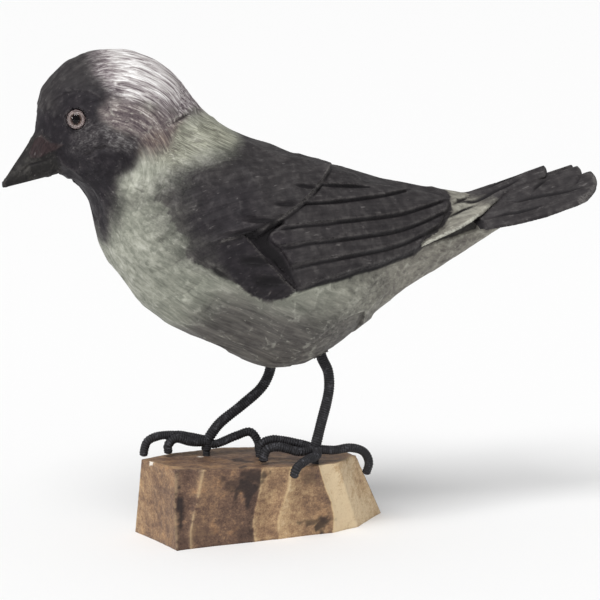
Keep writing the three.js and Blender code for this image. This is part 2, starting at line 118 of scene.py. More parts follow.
TAIL_ROOT = (61.8, 0, 138)
TAIL_RISE = math.radians(16.7)
TAIL_ROOF = math.radians(27)
TAIL_FEATHERS = [
    {"u": (-17, 55), "inner": (-0.4, -0.4), "top": 1.2, "base": -0.7, "round": 3, "dip": 0,
     "edge": [(-18, 23), (-7, 22), (4, 20.3), (10, 18.6), (15, 16.4), (24.5, 11.5), (33.5, 7.5), (44.5, 6.5),
              (55, 6)]},
    {"u": (11, 69), "inner": (-0.4, 3), "top": -0.2, "base": -3, "round": 6, "dip": 1.5,
     "edge": [(11, 5), (25.5, 10.2), (40, 13.1), (54.5, 13.9), (69, 12.5)]},
    {"u": (11, 72.2), "inner": (3, 9), "top": -1.1, "base": -3.4, "round": 5, "dip": 0.9,
     "edge": [(11, 13), (26.3, 16.7), (41.6, 19.1), (56.9, 20.4), (72.2, 20.5)]},
    {"u": (11.5, 69.5), "inner": (8, 16), "top": -1.8, "base": -4, "round": 9, "dip": 0.2,
     "edge": [(11.5, 20.5), (26, 24.7), (40.5, 27), (55, 26.6), (69.5, 24.6)]},
]
# Carved lines on the tail: width, depth, how much painted shade in the line, and the line on the tail's
# plane.
TAIL_CUTS = [
    (1.3, 1.1, 1, [(27, 9), (34.5, 14), (40.5, 15), (48.5, 16.5), (60, 17.5), (69.5, 19)]),
    (1.3, 1.0, 1, [(17, 16.8), (25, 18), (31, 20), (38.5, 20.5), (46, 20.6)]),
    (1.1, 0.5, 0.7, [(53.5, 17), (57.5, 16), (62, 14.5), (67, 10), (68, 6)]),
    (1.3, 0.8, 0.9, [(54, 5.5), (47.5, 9), (40.5, 13)]),
    (1.1, 0.9, 1, [(-5, 12), (3.5, 10), (12.5, 8.5), (21, 7.5), (28, 6), (35, 5), (42.5, 3), (50, 2)]),
    (1.1, 0.8, 1, [(23.5, 2), (33.5, 0.8), (44.5, 0.4)]),
]
TAIL_STARTS = 45
TAIL_EMERGES = [(0, 1), (10, -3), (16, -9), (23, -17)]

EYE_AT = (-98.6, 19, 180.1)
EYE_R = 4.1
EYE_DOME = 2.4
EYE_DEPTH = 4.5
EYE_SUNK = 1
EYE_SIDES = 48
SOCKET_GAP = 0.15

LEG_R = 2.15
TOE_R = 1.8
PEG_R = 1.5
CORD_PITCH = 1.0
CORD_SWELL = 0.25
CORD_SIDES = 18
CORD_STEPS = 7
CORD_SUNK = 0.1
CORD_RISE = 0.3
CORD_DRIFT = 0.4
CURVE_STEPS = 40
ANKLE_WRAP = 5.2
LEGS = {
    "left": {
        "shank": [(6, -12.5, 91), (7.3, -12.5, 78), (10.4, -12.5, 71), (11, -12.4, 64.5),
                  (10.4, -12, 59.3), (7.8, -11, 48), (5.6, -10, 38)],
        "peg": [(5.6, -10, 38), (5.6, -10, 24)],
        "toes": [
            [(5.6, -9.6, 37.6), (-2, -7, 39.7), (-11.5, -4.5, 41.3), (-15.4, -3.3, 40),
             (-16.7, -2.5, 36.7), (-16.7, -2.5, 33.2)],
            [(5.6, -10, 37.2), (-1.6, -11, 36.7), (-11.3, -11, 39.3), (-15.9, -11, 38.6),
             (-17.6, -11, 35.4), (-17.7, -11, 33)],
            [(5.8, -10.4, 37), (4.7, -15, 35.6), (-1.5, -19.5, 34.6), (-6.9, -23, 32.2),
             (-8.8, -24.2, 28.4)],
            [(5.2, -10, 37.2), (14.4, -9, 36), (22.4, -8.2, 36.3), (28.7, -7, 33.8),
             (31.3, -6, 28.8), (29.8, -6, 23.6)],
        ],
    },
    "right": {
        "shank": [(-6, 12.5, 86), (-7, 12.5, 71), (-8.4, 12.5, 65.8), (-11.6, 12.5, 60.7),
                  (-20.6, 12.7, 53.3), (-30.4, 13, 45.9), (-36, 13, 38.8)],
        "peg": [(-36, 13, 39.4), (-36, 13, 25)],
        "toes": [
            [(-35.8, 13.2, 39), (-43, 14, 41), (-56.3, 14.4, 42.1), (-61.6, 14.6, 40),
             (-63.2, 14.6, 36), (-63.4, 14.6, 33.4)],
            [(-35.8, 12.8, 38.4), (-42.9, 11.6, 39.1), (-50.2, 11.5, 41), (-53.4, 11.5, 38.4),
             (-53.2, 11.5, 34.5)],
            [(-35.8, 13.4, 38.6), (-41, 18.5, 39.6), (-46.5, 23.5, 40), (-48.6, 25.6, 37.6),
             (-49, 26, 34.6)],
            [(-36.2, 13, 38.6), (-32.8, 12.5, 37.4), (-23.2, 11.5, 40.6), (-17, 11, 42),
             (-13.7, 10.2, 37.6), (-13.3, 10, 33)],
        ],
    },
}

BLOCK_FOOT = [
    (-58.3, -20.3), (-52.3, -18.9), (-23, -15.4), (-11.3, -13.8), (13.2, -10.2), (27.4, -3.2),
    (46, 18.8), (42, 30), (8, 33.5), (-35, 32), (-62, 27), (-66.6, 18),
]
BLOCK_TOP = [
    (-57.3, -18.4), (-46.2, -18.8), (-23.5, -19.4), (-10, -18), (5, -16), (15.2, -12),
    (28.7, 3.4), (27.5, 20), (6, 28.5), (-26, 27.5), (-50, 18), (-66.5, 6),
]
BLOCK_HEIGHT = 32.1
BLOCK_FALL = 0.042
BLOCK_MIDDLE = (-18, 5)
BLOCK_STEP = 0.8
BLOCK_SCOOP = 1.3
BLOCK_RINGS = 26
BLOCK_ROWS = 40
RIM_FADE = 0.6
TOP_TINT = 0.46


# Numbers

def held(x):
    return np.clip(x, 0, 1)


def smooth(low, high, x):
    f = held((x - low) / (high - low))
    return f * f * (3 - 2 * f)


def tent(d, width, top=1.0):
    """Falls from its top as the distance d grows, held between 0 and 1."""
    return held(top - d / width)


def line_at(x, points):
    """Height at x of a line through points."""
    return np.interp(x, *zip(*points))


def lattice(seed):
    """A 3-D smooth noise function from -1 to 1, repeating after NOISE_CELLS cells."""
    table = np.random.default_rng(seed).uniform(-1, 1, (NOISE_CELLS,) * 3).astype(np.float32)

    def noise(p):
        cell = np.floor(p).astype(np.int64)
        f = (p - cell).astype(np.float32)
        f = f * f * (3 - 2 * f)
        out = 0
        for corner in np.ndindex(2, 2, 2):
            weight = 1
            for k in range(3):
                weight = weight * (f[:, k] if corner[k] else 1 - f[:, k])
            i, j, m = [(cell[:, k] + corner[k]) % NOISE_CELLS for k in range(3)]
            out = out + weight * table[i, j, m]
        return out

    return noise


def layered(noise, p, octaves):
    return sum(noise(p * 2.0**k + 7.3 * k) / 2**k for k in range(octaves))


def unit(v):
    return v / np.maximum(np.linalg.norm(v, axis=-1, keepdims=True), 1e-12)


# The bird's form

def tipped(x, z, at, rise):
    """Place along and above a line through a point of the mid-plane, rising to the rear."""
    dx = x - at[0]
    dz = z - at[2]
    return dx * math.cos(rise) + dz * math.sin(rise), dz * math.cos(rise) - dx * math.sin(rise)


def mass_distance(x, y, z, mass):
    u, w = tipped(x, z, mass["at"], math.radians(mass["pitch"]))
    ra, rb, rc = mass["half"]
    k0 = np.sqrt((u / ra) ** 2 + (y / rb) ** 2 + (w / rc) ** 2)
    k1 = np.sqrt((u / ra**2) ** 2 + (y / rb**2) ** 2 + (w / rc**2) ** 2)
    return k0 * (k0 - 1) / np.maximum(k1, 1e-9)


def taper_distance(x, y, z, bar):
    a = np.array(bar["a"], float)
    d = np.array(bar["b"], float) - a
    px = x - a[0]
    py = y / bar["width"]
    pz = z - a[2]
    t = held((px * d[0] + pz * d[2]) / (d @ d))
    off = np.sqrt((px - t * d[0]) ** 2 + py**2 + (pz - t * d[2]) ** 2)
    return (off - (bar["r0"] + (bar["r1"] - bar["r0"]) * t)) * bar["width"]


def blend(a, b, size):
    h = np.maximum(size - np.abs(a - b), 0) / size
    return np.minimum(a, b) - h * h * size * 0.25


def body_distance(x, y, z):
    trunk = blend(mass_distance(x, y, z, BREAST), mass_distance(x, y, z, BELLY), BODY_BLEND)
    trunk = blend(trunk, taper_distance(x, y, z, RUMP), BODY_BLEND)
    head = blend(mass_distance(x, y, z, HEAD), taper_distance(x, y, z, NECK), NECK_BLEND)
    bird = blend(trunk, head, NECK_BLEND)
    return blend(bird, taper_distance(x, y, z, BILL), BILL_BLEND)


def gradient(field, p, step=0.05):
    out = np.empty_like(p)
    for k in range(3):
        e = np.zeros(3)
        e[k] = step
        out[:, k] = field(*(p + e).T) - field(*(p - e).T)
    return unit(out)


# The wings, drawn on a plane leaning over the bird's side

def back_line(x, off):
    """Height on the wing plane of the back at x, a distance off the mid-plane."""
    low, high = [np.full_like(x, z) for z in BACK_SEARCH]
    for _ in range(HALVINGS):
        z = (low + high) / 2
        outside = body_distance(x, np.full_like(x, off), z) > 0
        high = np.where(outside, z, high)
        low = np.where(outside, low, z)
    return low * math.cos(WING_LEAN) - off * math.sin(WING_LEAN)


def feather_line(feather, x):
    (ax, at), (bx, bt), sag, _ = feather
    f = (x - ax) / (bx - ax)
    return at + (bt - at) * f - sag * 4 * held(f) * (1 - held(f))


def bezier(curve, s):
    a, b, c = [np.array(p, float)[:, None] for p in curve]
    return (1 - s) ** 2 * a + 2 * (1 - s) * s * b + s**2 * c


def run_distance(p, points):
    """Distance to a run of points, and how far along it the nearest place is."""
    points = np.array(points, float)
    steps = np.diff(points, axis=0)
    lengths = np.linalg.norm(steps, axis=1)
    best = np.full(p.shape[:-1], FAR)
    where = np.zeros(p.shape[:-1])
    for a, step, length, gone in zip(points, steps, lengths, np.cumsum(lengths) - lengths):
        f = held((p - a) @ step / length**2)
        d = np.linalg.norm(p - a - f[..., None] * step, axis=-1)
        where = np.where(d < best, (gone + f * length) / lengths.sum(), where)
        best = np.minimum(d, best)
    return best, where


def line_distance(px, py, points):
    return run_distance(np.stack([px, py], -1), points)


def polygon_depth(px, py, corners):
    """Signed distance to a closed polygon, positive inside."""
    ring = [*corners, corners[0]]
    inside = np.zeros(px.shape, bool)
    for (ax, ay), (bx, by) in zip(ring[:-1], ring[1:]):
        if ay != by:
            inside ^= ((ay > py) != (by > py)) & (px < (bx - ax) * (py - ay) / (by - ay) + ax)
    d, _ = line_distance(px, py, ring)
    return np.where(inside, d, -d)


def box_blur(grid, reach):
    for axis in (0, 1):
        total = np.copy(grid)
        for k in range(1, reach + 1):
            total += np.roll(grid, k, axis) + np.roll(grid, -k, axis)
        grid = total / (2 * reach + 1)
    return grid


def group_map(group, xs, ts):
    """Lift of a raised group of feathers on the chart, or -FAR where it isn't."""
    grid = np.full((len(xs), len(ts)), -FAR)
    down = np.linspace(0, 1, GROUP_STEPS)
    front = bezier(group["front"], down)
    back = bezier(group["back"], down)
    for f in down:
        x, t = front + (back - front) * f
        t = t - group["sag"] * 4 * f * (1 - f) * down
        i = np.round((x - xs[0]) / CHART_STEP).astype(int)
        j = np.round((t - ts[0]) / CHART_STEP).astype(int)
        fits = (i >= 0) & (i < len(xs)) & (j >= 0) & (j < len(ts))
        at = (i[fits], j[fits])
        grid[at] = np.maximum(grid[at], group["lift"][0] + (group["lift"][1] - group["lift"][0]) * f)
    for row in grid:
        there = np.nonzero(row > -FAR)[0]
        if len(there) and group is UPPER_GROUP:
            row[there[-1]:] = row[there[-1]]
    return grid


def add_feather(chart, i, x, t, top, fade):
    """One long feather: its plate, the groove under its lower edge with painted shadow along it, and the worn
    edge itself.
    """
    (front, _), (rear, _), _, tip = FEATHERS[i]
    low = feather_line(FEATHERS[i], x)
    high = np.minimum(feather_line(FEATHERS[i - 1], x) + 2, top) if i else top
    high = np.maximum(high, low + 1)
    across = held((high - t) / (high - low))
    slant = (t - WING_CUT[0][1]) / (WING_CUT[1][1] - WING_CUT[0][1])
    x0 = np.where(slant < 0, front - 3, WING_CUT[0][0] + (WING_CUT[1][0] - WING_CUT[0][0]) * slant)
    reached = (x >= x0) & (x <= rear - tip * (2 * across - 0.8) ** 2)
    cover = reached & (t <= high) & (t >= low)
    proud = (FEATHER_STEP + FEATHER_RISE * across**1.5) * fade
    if i == 0:
        proud = proud * smooth(rear, rear - 14, x)
    below = low - t
    ends = smooth(x0.min() - 2, front + 8, x) * smooth(rear + 1, rear - 6, x) * reached
    groove = np.where(cover, 0, tent(np.abs(below - 0.2), 0.95) * ends)
    lift = chart["lift"] - groove * np.where(chart["lift"] > 0.2, 0.9, 0.3)
    # The band is painted shadow in the groove under the feather's lower edge.
    band = tent(np.where(below > 0.3, (below - 0.3) / 2.2, (0.3 - below) / 1.3), 1) * ends
    chart["lift"] = np.where(cover, np.maximum(lift, proud), lift)
    chart["cut"] = np.maximum(np.where(cover, 0, chart["cut"]), band)
    chart["edge"] = np.where(cover, 0.78 * tent(t - low, 2, 1.4), chart["edge"])


def add_group(chart, group, x, t, fade):
    """A raised group of short feathers, with a worn edge along its rear."""
    stand = group_map(group, chart["x"], chart["t"])
    over = (stand > -FAR) & (np.maximum(stand, 0) * fade > chart["lift"])
    rear, _ = line_distance(x, t, bezier(group["back"], np.linspace(0, 1, 24)).T)
    chart["edge"] = np.where(over, tent(rear, 1.8, 1.3), chart["edge"])
    chart["cut"] = np.where(over, 0, chart["cut"])
    chart["lift"] = np.where(over, np.maximum(stand, 0) * fade, chart["lift"])


def add_short_cut(chart, width, line, x, t):
    """A knife cut, deepest in its middle and painted dark along it as shade, with a light lip above it."""
    d, along = line_distance(x, t, line)
    ends = np.sin(math.pi * np.clip(along, 0.04, 0.96)) ** 0.7
    lip = 0.9 * ends * tent(np.abs(d - 1.7), 1.2) * (t > line_at(x, line))
    chart["lift"] -= 1.4 * tent(d, 0.75, 1.5) * ends
    chart["edge"] = np.maximum(chart["edge"], lip)
    chart["cut"] = np.maximum(chart["cut"], tent(d, width, 1.3) * ends)


def add_recess(chart, x, t):
    """The deep notch between the groups, and the cut along the rear of the upper one, both darkened with
    painted shadow.
    """
    hollow = polygon_depth(x, t, RECESS)
    d, along = line_distance(x, t, bezier(UPPER_GROUP["back"], np.linspace(0.04, 0.97, 14)).T)
    lasts = smooth(0, 0.15, along) * smooth(1, 0.9, along) * (chart["edge"] < 0.2)
    sunk = np.minimum(chart["lift"], -0.9) - chart["lift"]
    chart["lift"] += sunk * smooth(-0.6, 1.4, hollow) - 0.8 * tent(d, 1.3) * lasts
    notch = np.clip(0.5 + hollow / 2, 0, 0.88)
    chart["cut"] = np.maximum.reduce([chart["cut"], notch, tent(d, 2.2, 1.1) * lasts])


def wing_charts():
    """Relief of a wing off the body, and how deep in a cut (as painted shade) or proud on an edge each place
    is.
    """
    xs = np.arange(*CHART_X, CHART_STEP)
    ts = np.arange(*CHART_T, CHART_STEP)
    x, t = np.meshgrid(xs, ts, indexing="ij")
    layers = ("lift", "cut", "edge")
    chart = {"x": xs, "t": ts, **{name: np.zeros_like(x) for name in layers}}
    ridge = back_line(xs, 0)
    top = ridge + 1 + (back_line(xs, 9.5) - ridge - 1) * held((xs - 22) / 44)
    under_ridge = ridge[:, None] - t
    fade = np.clip(under_ridge / 14, 0.45, 1)
    for i in reversed(range(len(FEATHERS))):
        add_feather(chart, i, x, t, top[:, None], fade)
    for group in (LOWER_GROUP, UPPER_GROUP):
        add_group(chart, group, x, t, fade)
    for width, line in SHORT_CUTS:
        add_short_cut(chart, width, line, x, t)
    add_recess(chart, x, t)
    chart["lift"] += line_at(xs, BACK_HOLLOW)[:, None] * smooth(13, 2, under_ridge)
    for name in layers:
        chart[name] = box_blur(chart[name], 1)
    return chart


def look_up(chart, name, x, t):
    """A layer of the chart, read between its grid points."""
    grid = chart[name]
    i = np.clip((x - chart["x"][0]) / CHART_STEP, 0, grid.shape[0] - 1.001)
    j = np.clip((t - chart["t"][0]) / CHART_STEP, 0, grid.shape[1] - 1.001)
    i0, j0 = i.astype(int), j.astype(int)
    g = j - j0
    low, high = [grid[k, j0] * (1 - g) + grid[k, j0 + 1] * g for k in (i0, i0 + 1)]
    return low * (1 - i + i0) + high * (i - i0)


def chart_height(y, z):
    return z * math.cos(WING_LEAN) - np.abs(y) * math.sin(WING_LEAN)


# The tail, a fan of feathers roofed about its ridge

def tail_place(x, y, z):
    """Place along, across and above the roofed plane of the tail."""
    u, w = tipped(x, z, TAIL_ROOT, TAIL_RISE)
    v = np.abs(y) / math.cos(TAIL_ROOF)
    return u, v, w + v * math.sin(TAIL_ROOF)


def cut_depth(a, b, cuts):
    """Depth of carved lines in a plane, and how much painted shade each puts along its line."""
    depth = np.zeros(np.shape(a))
    shade = np.zeros(np.shape(a))
    for width, deep, dark, line in cuts:
        d, along = line_distance(a, b, line)
        ends = np.sin(math.pi * np.clip(along, 0.03, 0.97)) ** 0.6
        depth = np.maximum(depth, deep * ends * tent(d, width))
        shade = np.maximum(shade, dark * ends * tent(d, 1.8 * width, 1.1))
    return depth, shade


def tail_plates(x, y, z):
    u, v, w = tail_place(x, y, z)
    best = np.full(np.shape(x), FAR)
    groove, _ = cut_depth(u, v, TAIL_CUTS)
    for feather in TAIL_FEATHERS:
        u0, u1 = feather["u"]
        edge = line_at(u, feather["edge"])
        inner = np.interp(u, feather["u"], feather["inner"])
        across = held((v - inner) / np.maximum(edge - inner, 0.5))
        dip = feather["dip"] * smooth(44, 58, u)
        crown = feather["top"] + 0.35 * np.sin(math.pi * across) - 0.25 - groove - dip
        start = np.maximum(u0, line_at(v, TAIL_EMERGES))
        plan = np.maximum.reduce([v - edge, inner - v, u - u1 + feather["round"] * across**3, start - u])
        thick = np.maximum(w - crown, feather["base"] - dip - w)
        best = np.minimum(best, -blend(-thick, -plan, 0.9))
    return best


def tail_distance(x, y, z):
    out = np.full(np.shape(x), 30.0)
    near = x > TAIL_STARTS
    out[near] = tail_plates(x[near], y[near], z[near])
    return out


# The whole bird as one field

def eye_frame(side):
    at = np.array([[EYE_AT[0], side * EYE_AT[1], EYE_AT[2]]], float)
    out = gradient(body_distance, at)[0]
    at = at[0] + out * (-body_distance(*at[0]) - EYE_SUNK)
    return at, out


def eye_place(x, y, z):
    """How far off the axis of the nearer eye each point is, how far out, and how far behind it."""
    at, out = eye_frame(1)
    px = x - at[0]
    py = np.abs(y) - at[1]
    pz = z - at[2]
    along = px * out[0] + py * out[1] + pz * out[2]
    return np.sqrt(np.maximum(px**2 + py**2 + pz**2 - along**2, 0)), along, px


def socket_distance(x, y, z):
    off, along, _ = eye_place(x, y, z)
    return np.maximum(off - EYE_R - SOCKET_GAP, -along - EYE_DEPTH - SOCKET_GAP)


def bird_field(chart):
    def field(x, y, z):
        lift = look_up(chart, "lift", x, chart_height(y, z))
        near = body_distance(x, np.abs(y) - lift * math.cos(WING_LEAN), z - lift * math.sin(WING_LEAN))
        d = blend(near, tail_distance(x, y, z), 1.5)
        d = np.maximum(d, -socket_distance(x, y, z))
        for leg in LEGS.values():
            off, _ = run_distance(np.stack([x, y, z], -1), leg["shank"][:3])
            d = np.maximum(d, LEG_R + CORD_SWELL + SOCKET_GAP - off)
        return d

    return field


def surface_of(field, low, high, cell):
    """Closed quad skin of the zero of a field, sampled only near its surface."""
    low = np.array(low, float)
    block = SAMPLE_BLOCK
    blocks = np.ceil((np.array(high) - low) / (cell * block)).astype(int)
    centres = [low[k] + cell * block * (np.arange(blocks[k]) + 0.5) for k in range(3)]
    middle = np.stack(np.meshgrid(*centres, indexing="ij"), -1)
    rough = field(*middle.reshape(-1, 3).T).reshape(blocks)
    values = rough.astype(np.float32)
    for axis in range(3):
        values = np.repeat(values, block, axis)
    close = np.argwhere(np.abs(rough) < cell * block * HALF_DIAGONAL + RELIEF_MOST)
    inner = np.stack(np.meshgrid(*[np.arange(block)] * 3, indexing="ij"), -1).reshape(-1, 3)
    for part in np.array_split(close, len(close) // SAMPLE_BATCH + 1):
        at = (part[:, None, :] * block + inner).reshape(-1, 3)
        values[tuple(at.T)] = field(*(low + at * cell).T)
    return skin_of_grid(values, low, cell)


def skin_of_grid(values, low, cell):
    """A point in each cell that the surface crosses, joined across each edge that it crosses."""
    solid = values < 0
    size = np.array(values.shape)
    count = np.zeros(tuple(size - 1), int)
    for d in np.ndindex(2, 2, 2):
        count += solid[tuple(slice(d[k], size[k] - 1 + d[k]) for k in range(3))]
    cells = np.argwhere((count > 0) & (count < 8))
    number = np.full(count.shape, -1)
    number[tuple(cells.T)] = np.arange(len(cells))
    total = np.zeros((len(cells), 3))
    hits = np.zeros(len(cells))
    for axis in range(3):
        for corner in np.ndindex(2, 2, 2):
            if corner[axis]:
                continue
            a = cells + np.array(corner)
            b = a + np.eye(3, dtype=int)[axis]
            va = values[tuple(a.T)]
            vb = values[tuple(b.T)]
            crossed = (va < 0) != (vb < 0)
            p = a[crossed].astype(float)
            p[:, axis] += va[crossed] / (va[crossed] - vb[crossed])
            total[crossed] += p
            hits[crossed] += 1
    quads = []
    for axis in range(3):
        others = np.delete(np.arange(3), axis) if axis != 1 else np.array([2, 0])
        first = np.take(solid, range(size[axis] - 1), axis=axis)
        second = np.take(solid, range(1, size[axis]), axis=axis)
        edges = np.argwhere(first != second)
        edges = edges[np.all((edges[:, others] > 0) & (edges[:, others] < size[others] - 1), 1)]
        ring = []
        for back in ((1, 1), (0, 1), (0, 0), (1, 0)):
            q = edges.copy()
            q[:, others] -= back
            ring.append(number[tuple(q.T)])
        quad = np.stack(ring, 1)
        flip = ~first[tuple(edges.T)]
        quad[flip] = quad[flip][:, ::-1]
        quads.append(quad)
    return low + cell * total / hits[:, None], np.concatenate(quads)


def settle(field, verts, rounds, most):
    """Moves points onto the field's surface by small steps."""
    for _ in range(rounds):
        g = gradient(field, verts, 0.08)
        d = field(*verts.T)
        verts = verts - g * np.clip(d, -most, most)[:, None]
    return verts


def vertex_normals(verts, faces):
    a, b, c, d = [verts[faces[:, k]] for k in (0, 1, 2, -1)]
    n = np.cross(c - a, d - b)
    out = np.zeros_like(verts)
    for corner in faces.T:
        for axis in range(3):
            out[:, axis] += np.bincount(corner, n[:, axis], len(verts))
    return unit(out)


# Fine carving on the skin of the bird

# Carved lines on the head, neck and rump: width, depth, how much painted shade in the line, and the line.
SIDE_CUTS = [
    (0.8, 0.6, 0.7, [(-122, 154), (-119, 157), (-115, 161), (-107.5, 163), (-103, 166.5)]),
    (1.3, 0.9, 0.6, [(-97, 162.5), (-94.5, 165), (-91.5, 168), (-86, 168.7), (-80, 168)]),
    (1.4, 0.5, 0, [(-108.5, 174), (-107.5, 178.5), (-104.5, 182)]),
    (1.3, 0.8, 0.7, [(-45, 181.5), (-51, 181.5), (-58.5, 178.5), (-64, 176.8)]),
    (1.6, 0.4, 0, [(-91, 175.5), (-86, 175), (-81.5, 173), (-75.5, 172)]),
    (1.6, 0.3, 0, [(-93, 187), (-88, 188.3), (-82, 187)]),
    (2.2, 0.8, 0, [(-76, 160), (-78.5, 153), (-81, 148)]),
    (2.4, 0.9, 0, [(-71, 160), (-74, 151), (-79, 142)]),
    (2.2, 0.9, 0, [(-66, 159), (-68, 150), (-73, 141)]),
    (2.6, 0.8, 0, [(-60, 152), (-66, 144), (-74, 137)]),
    (2.2, 0.6, 0, [(-57, 163), (-62, 158), (-64, 151)]),
    (2.6, 0.8, 0, [(-56, 140), (-64, 133), (-72, 128)]),
    (2.8, 0.7, 0, [(-55, 128), (-62, 121), (-70, 117)]),
    (2.8, 0.7, 0, [(-50, 116), (-56, 109), (-63, 106)]),
    (2.6, 0.6, 0, [(-44, 108), (-48, 100), (-55, 96)]),
    (0.8, 0.7, 0.95, [(59, 133), (65, 135.1), (69, 136.3), (73, 137.5), (78.5, 138.9), (84, 140.5)]),
    (1.1, 0.7, 0.9, [(65, 139), (69, 140.4), (74, 141.5), (80, 143)]),
]
BRISTLES = [(-115, 166), (-114.5, 163.6), (-110.5, 164), (-104.5, 167.5), (-102.5, 169.8),
            (-107, 170.3), (-110, 173.5), (-112.5, 171.5)]
FACET_SPACING = {"body": 9, "head": 6.5}
FACET_LENGTH = 1.7
FACET_REACH = 9.5
FACET_TILT = 0.065
FACET_TURN = 0.5
FACET_SUNK = (0.1, 0.65)
FACET_CURVE = 0.006
FACET_DEPTH = (-1.0, 0.25)
FACET_TRIES = 9000
FACET_BATCHES = 160
FACET_SIGHT = 16
HAIR_DEPTH = 0.16
STROKE_DEPTH = 0.12
SWELL_DEPTH = 0.1
TAIL_HOLLOW = 0.9
BRISTLE_RISE = 0.55
LID_RISE = 0.35
EYE_HOLLOW = 0.6
BILL_END = -125.15
TAIL_TIP = 133.3
CROWN_TOP = 207.4


def head_share(x, z):
    return smooth(-52, -64, x + (180 - z) * 0.35) * smooth(150, 160, z)


def scatter(points, spacing, rng):
    """Picks points in random order, each at least its own spacing from those before it."""
    kept = []
    order = rng.permutation(len(points))[:FACET_TRIES]
    for i in order:
        p = points[i]
        if kept and np.min(np.sum((points[kept] - p) ** 2, 1)) < spacing[i] ** 2:
            continue
        kept.append(i)
    return np.array(kept)


def hollowness(at, out):
    """How sharply the form bends inwards at each point, along or across the bird."""
    reach = 4.0
    along = unit(np.stack([out[:, 2], 0 * out[:, 0], -out[:, 0]], 1))
    across = unit(np.cross(out, along))
    most = np.zeros(len(at))
    for way in (along, across, unit(along + across), unit(along - across)):
        ahead = gradient(body_distance, at + way * reach, 0.3)
        behind = gradient(body_distance, at - way * reach, 0.3)
        bend = np.sum((ahead - behind) * way, 1) / (2 * reach)
        most = np.maximum(most, -bend)
    return most


def facet_cuts(verts, normals, rng):
    """Depth of flat knife cuts all over a rounded form, at each of its points."""
    share = head_share(verts[:, 0], verts[:, 2])
    spacing = FACET_SPACING["body"] + (FACET_SPACING["head"] - FACET_SPACING["body"]) * share
    kept = scatter(verts, spacing * rng.uniform(0.8, 1.25, len(verts)), rng)
    at = verts[kept]
    out = unit(normals[kept] + rng.normal(0, FACET_TILT, (len(kept), 3)))
    turn = rng.normal(0, FACET_TURN, len(kept))
    along = np.stack([np.cos(turn), np.zeros(len(kept)), np.sin(turn)], 1)
    along[:, 2] += np.where(share[kept] > 0.5, 0, 0.3)
    along = unit(along - out * np.sum(along * out, 1, keepdims=True))
    sunk = rng.uniform(*FACET_SUNK, len(kept))
    bowl = 0.7 * hollowness(at, normals[kept])
    depth = np.zeros(len(verts))
    order = np.argsort(verts[:, 0])
    for part in np.array_split(order, FACET_BATCHES):
        low = verts[part, 0].min() - FACET_SIGHT
        high = verts[part, 0].max() + FACET_SIGHT
        near = np.where((at[:, 0] > low) & (at[:, 0] < high))[0]
        d = verts[part, None, :] - at[None, near]
        flat = -np.einsum("ijk,jk->ij", d, out[near])
        lean = np.maximum(np.einsum("ik,jk->ij", normals[part], out[near]), 0.35)
        run = np.einsum("ijk,jk->ij", d, along[near])
        square = np.sum(d * d, 2)
        wide = square - run**2
        rise = flat / lean - sunk[near] + FACET_CURVE * (run**2 / FACET_LENGTH**2 + wide)
        rise += bowl[near] * square + 0.06 * np.maximum(np.sqrt(square) - FACET_REACH, 0) ** 2
        rise += 9 * np.maximum(0.94 - lean, 0)
        best = np.partition(rise, 1, axis=1)[:, :2]
        depth[part] = blend(best[:, 0], best[:, 1], 0.1)
    return np.clip(depth, *FACET_DEPTH)


def carve(verts, quads, chart, rng):
    """Knife facets, cut lines and combed hair, moved into the bird's skin."""
    x, y, z = verts.T
    skin = vertex_normals(verts, quads)
    form = gradient(body_distance, verts, 0.3)
    plain = smooth(0.9, 0.25, np.abs(body_distance(x, y, z))) * smooth(66, 60, x)
    raised = look_up(chart, "lift", x, chart_height(y, z))
    group = smooth(0.05, 0.6, raised) * smooth(8, 2, x) * 0.7
    facets = facet_cuts(verts, form, rng)
    bill = smooth(-102, -106, x + (z - 163) * 0.42)
    combed = hood_share(x, z)
    move = facets * np.maximum(plain, group) * (1 - 0.75 * bill) * (1 - 0.5 * combed)
    facing = smooth(0.25, 0.5, np.abs(skin[:, 1]))
    move -= cut_depth(x, z, SIDE_CUTS)[0] * facing
    move += BRISTLE_RISE * inside(x, z, BRISTLES, -0.2, 0.5) * facing
    off, along, behind = eye_place(x, y, z)
    before_eye = smooth(5.0, 7.0, off) * smooth(11, 7.5, off) * smooth(2, -1, behind)
    move += LID_RISE * smooth(4.2, 4.6, off) * smooth(6.2, 5.0, off) * (along > -2)
    move -= EYE_HOLLOW * before_eye * smooth(-9, -4, along)
    comb = comb_of(x, y, z)
    hair = layered(lattice(5), comb * [0.1, 1.1, 1.1], 2)
    move += HAIR_DEPTH * hair * combed * plain
    stroke = layered(lattice(6), comb * [0.06, 0.45, 0.45], 2)
    move += STROKE_DEPTH * stroke * (1 - plain)
    move -= TAIL_HOLLOW * tail_recess(x, z, tail_place(x, y, z)[2])
    move += SWELL_DEPTH * layered(lattice(7), verts * 0.12, 2)
    verts = verts + skin * move[:, None]
    verts[:, 0] = np.clip(verts[:, 0], BILL_END, TAIL_TIP)
    verts[:, 2] = np.minimum(verts[:, 2], CROWN_TOP)
    return verts


# Where the paint, the painted shade and the painted highlights go

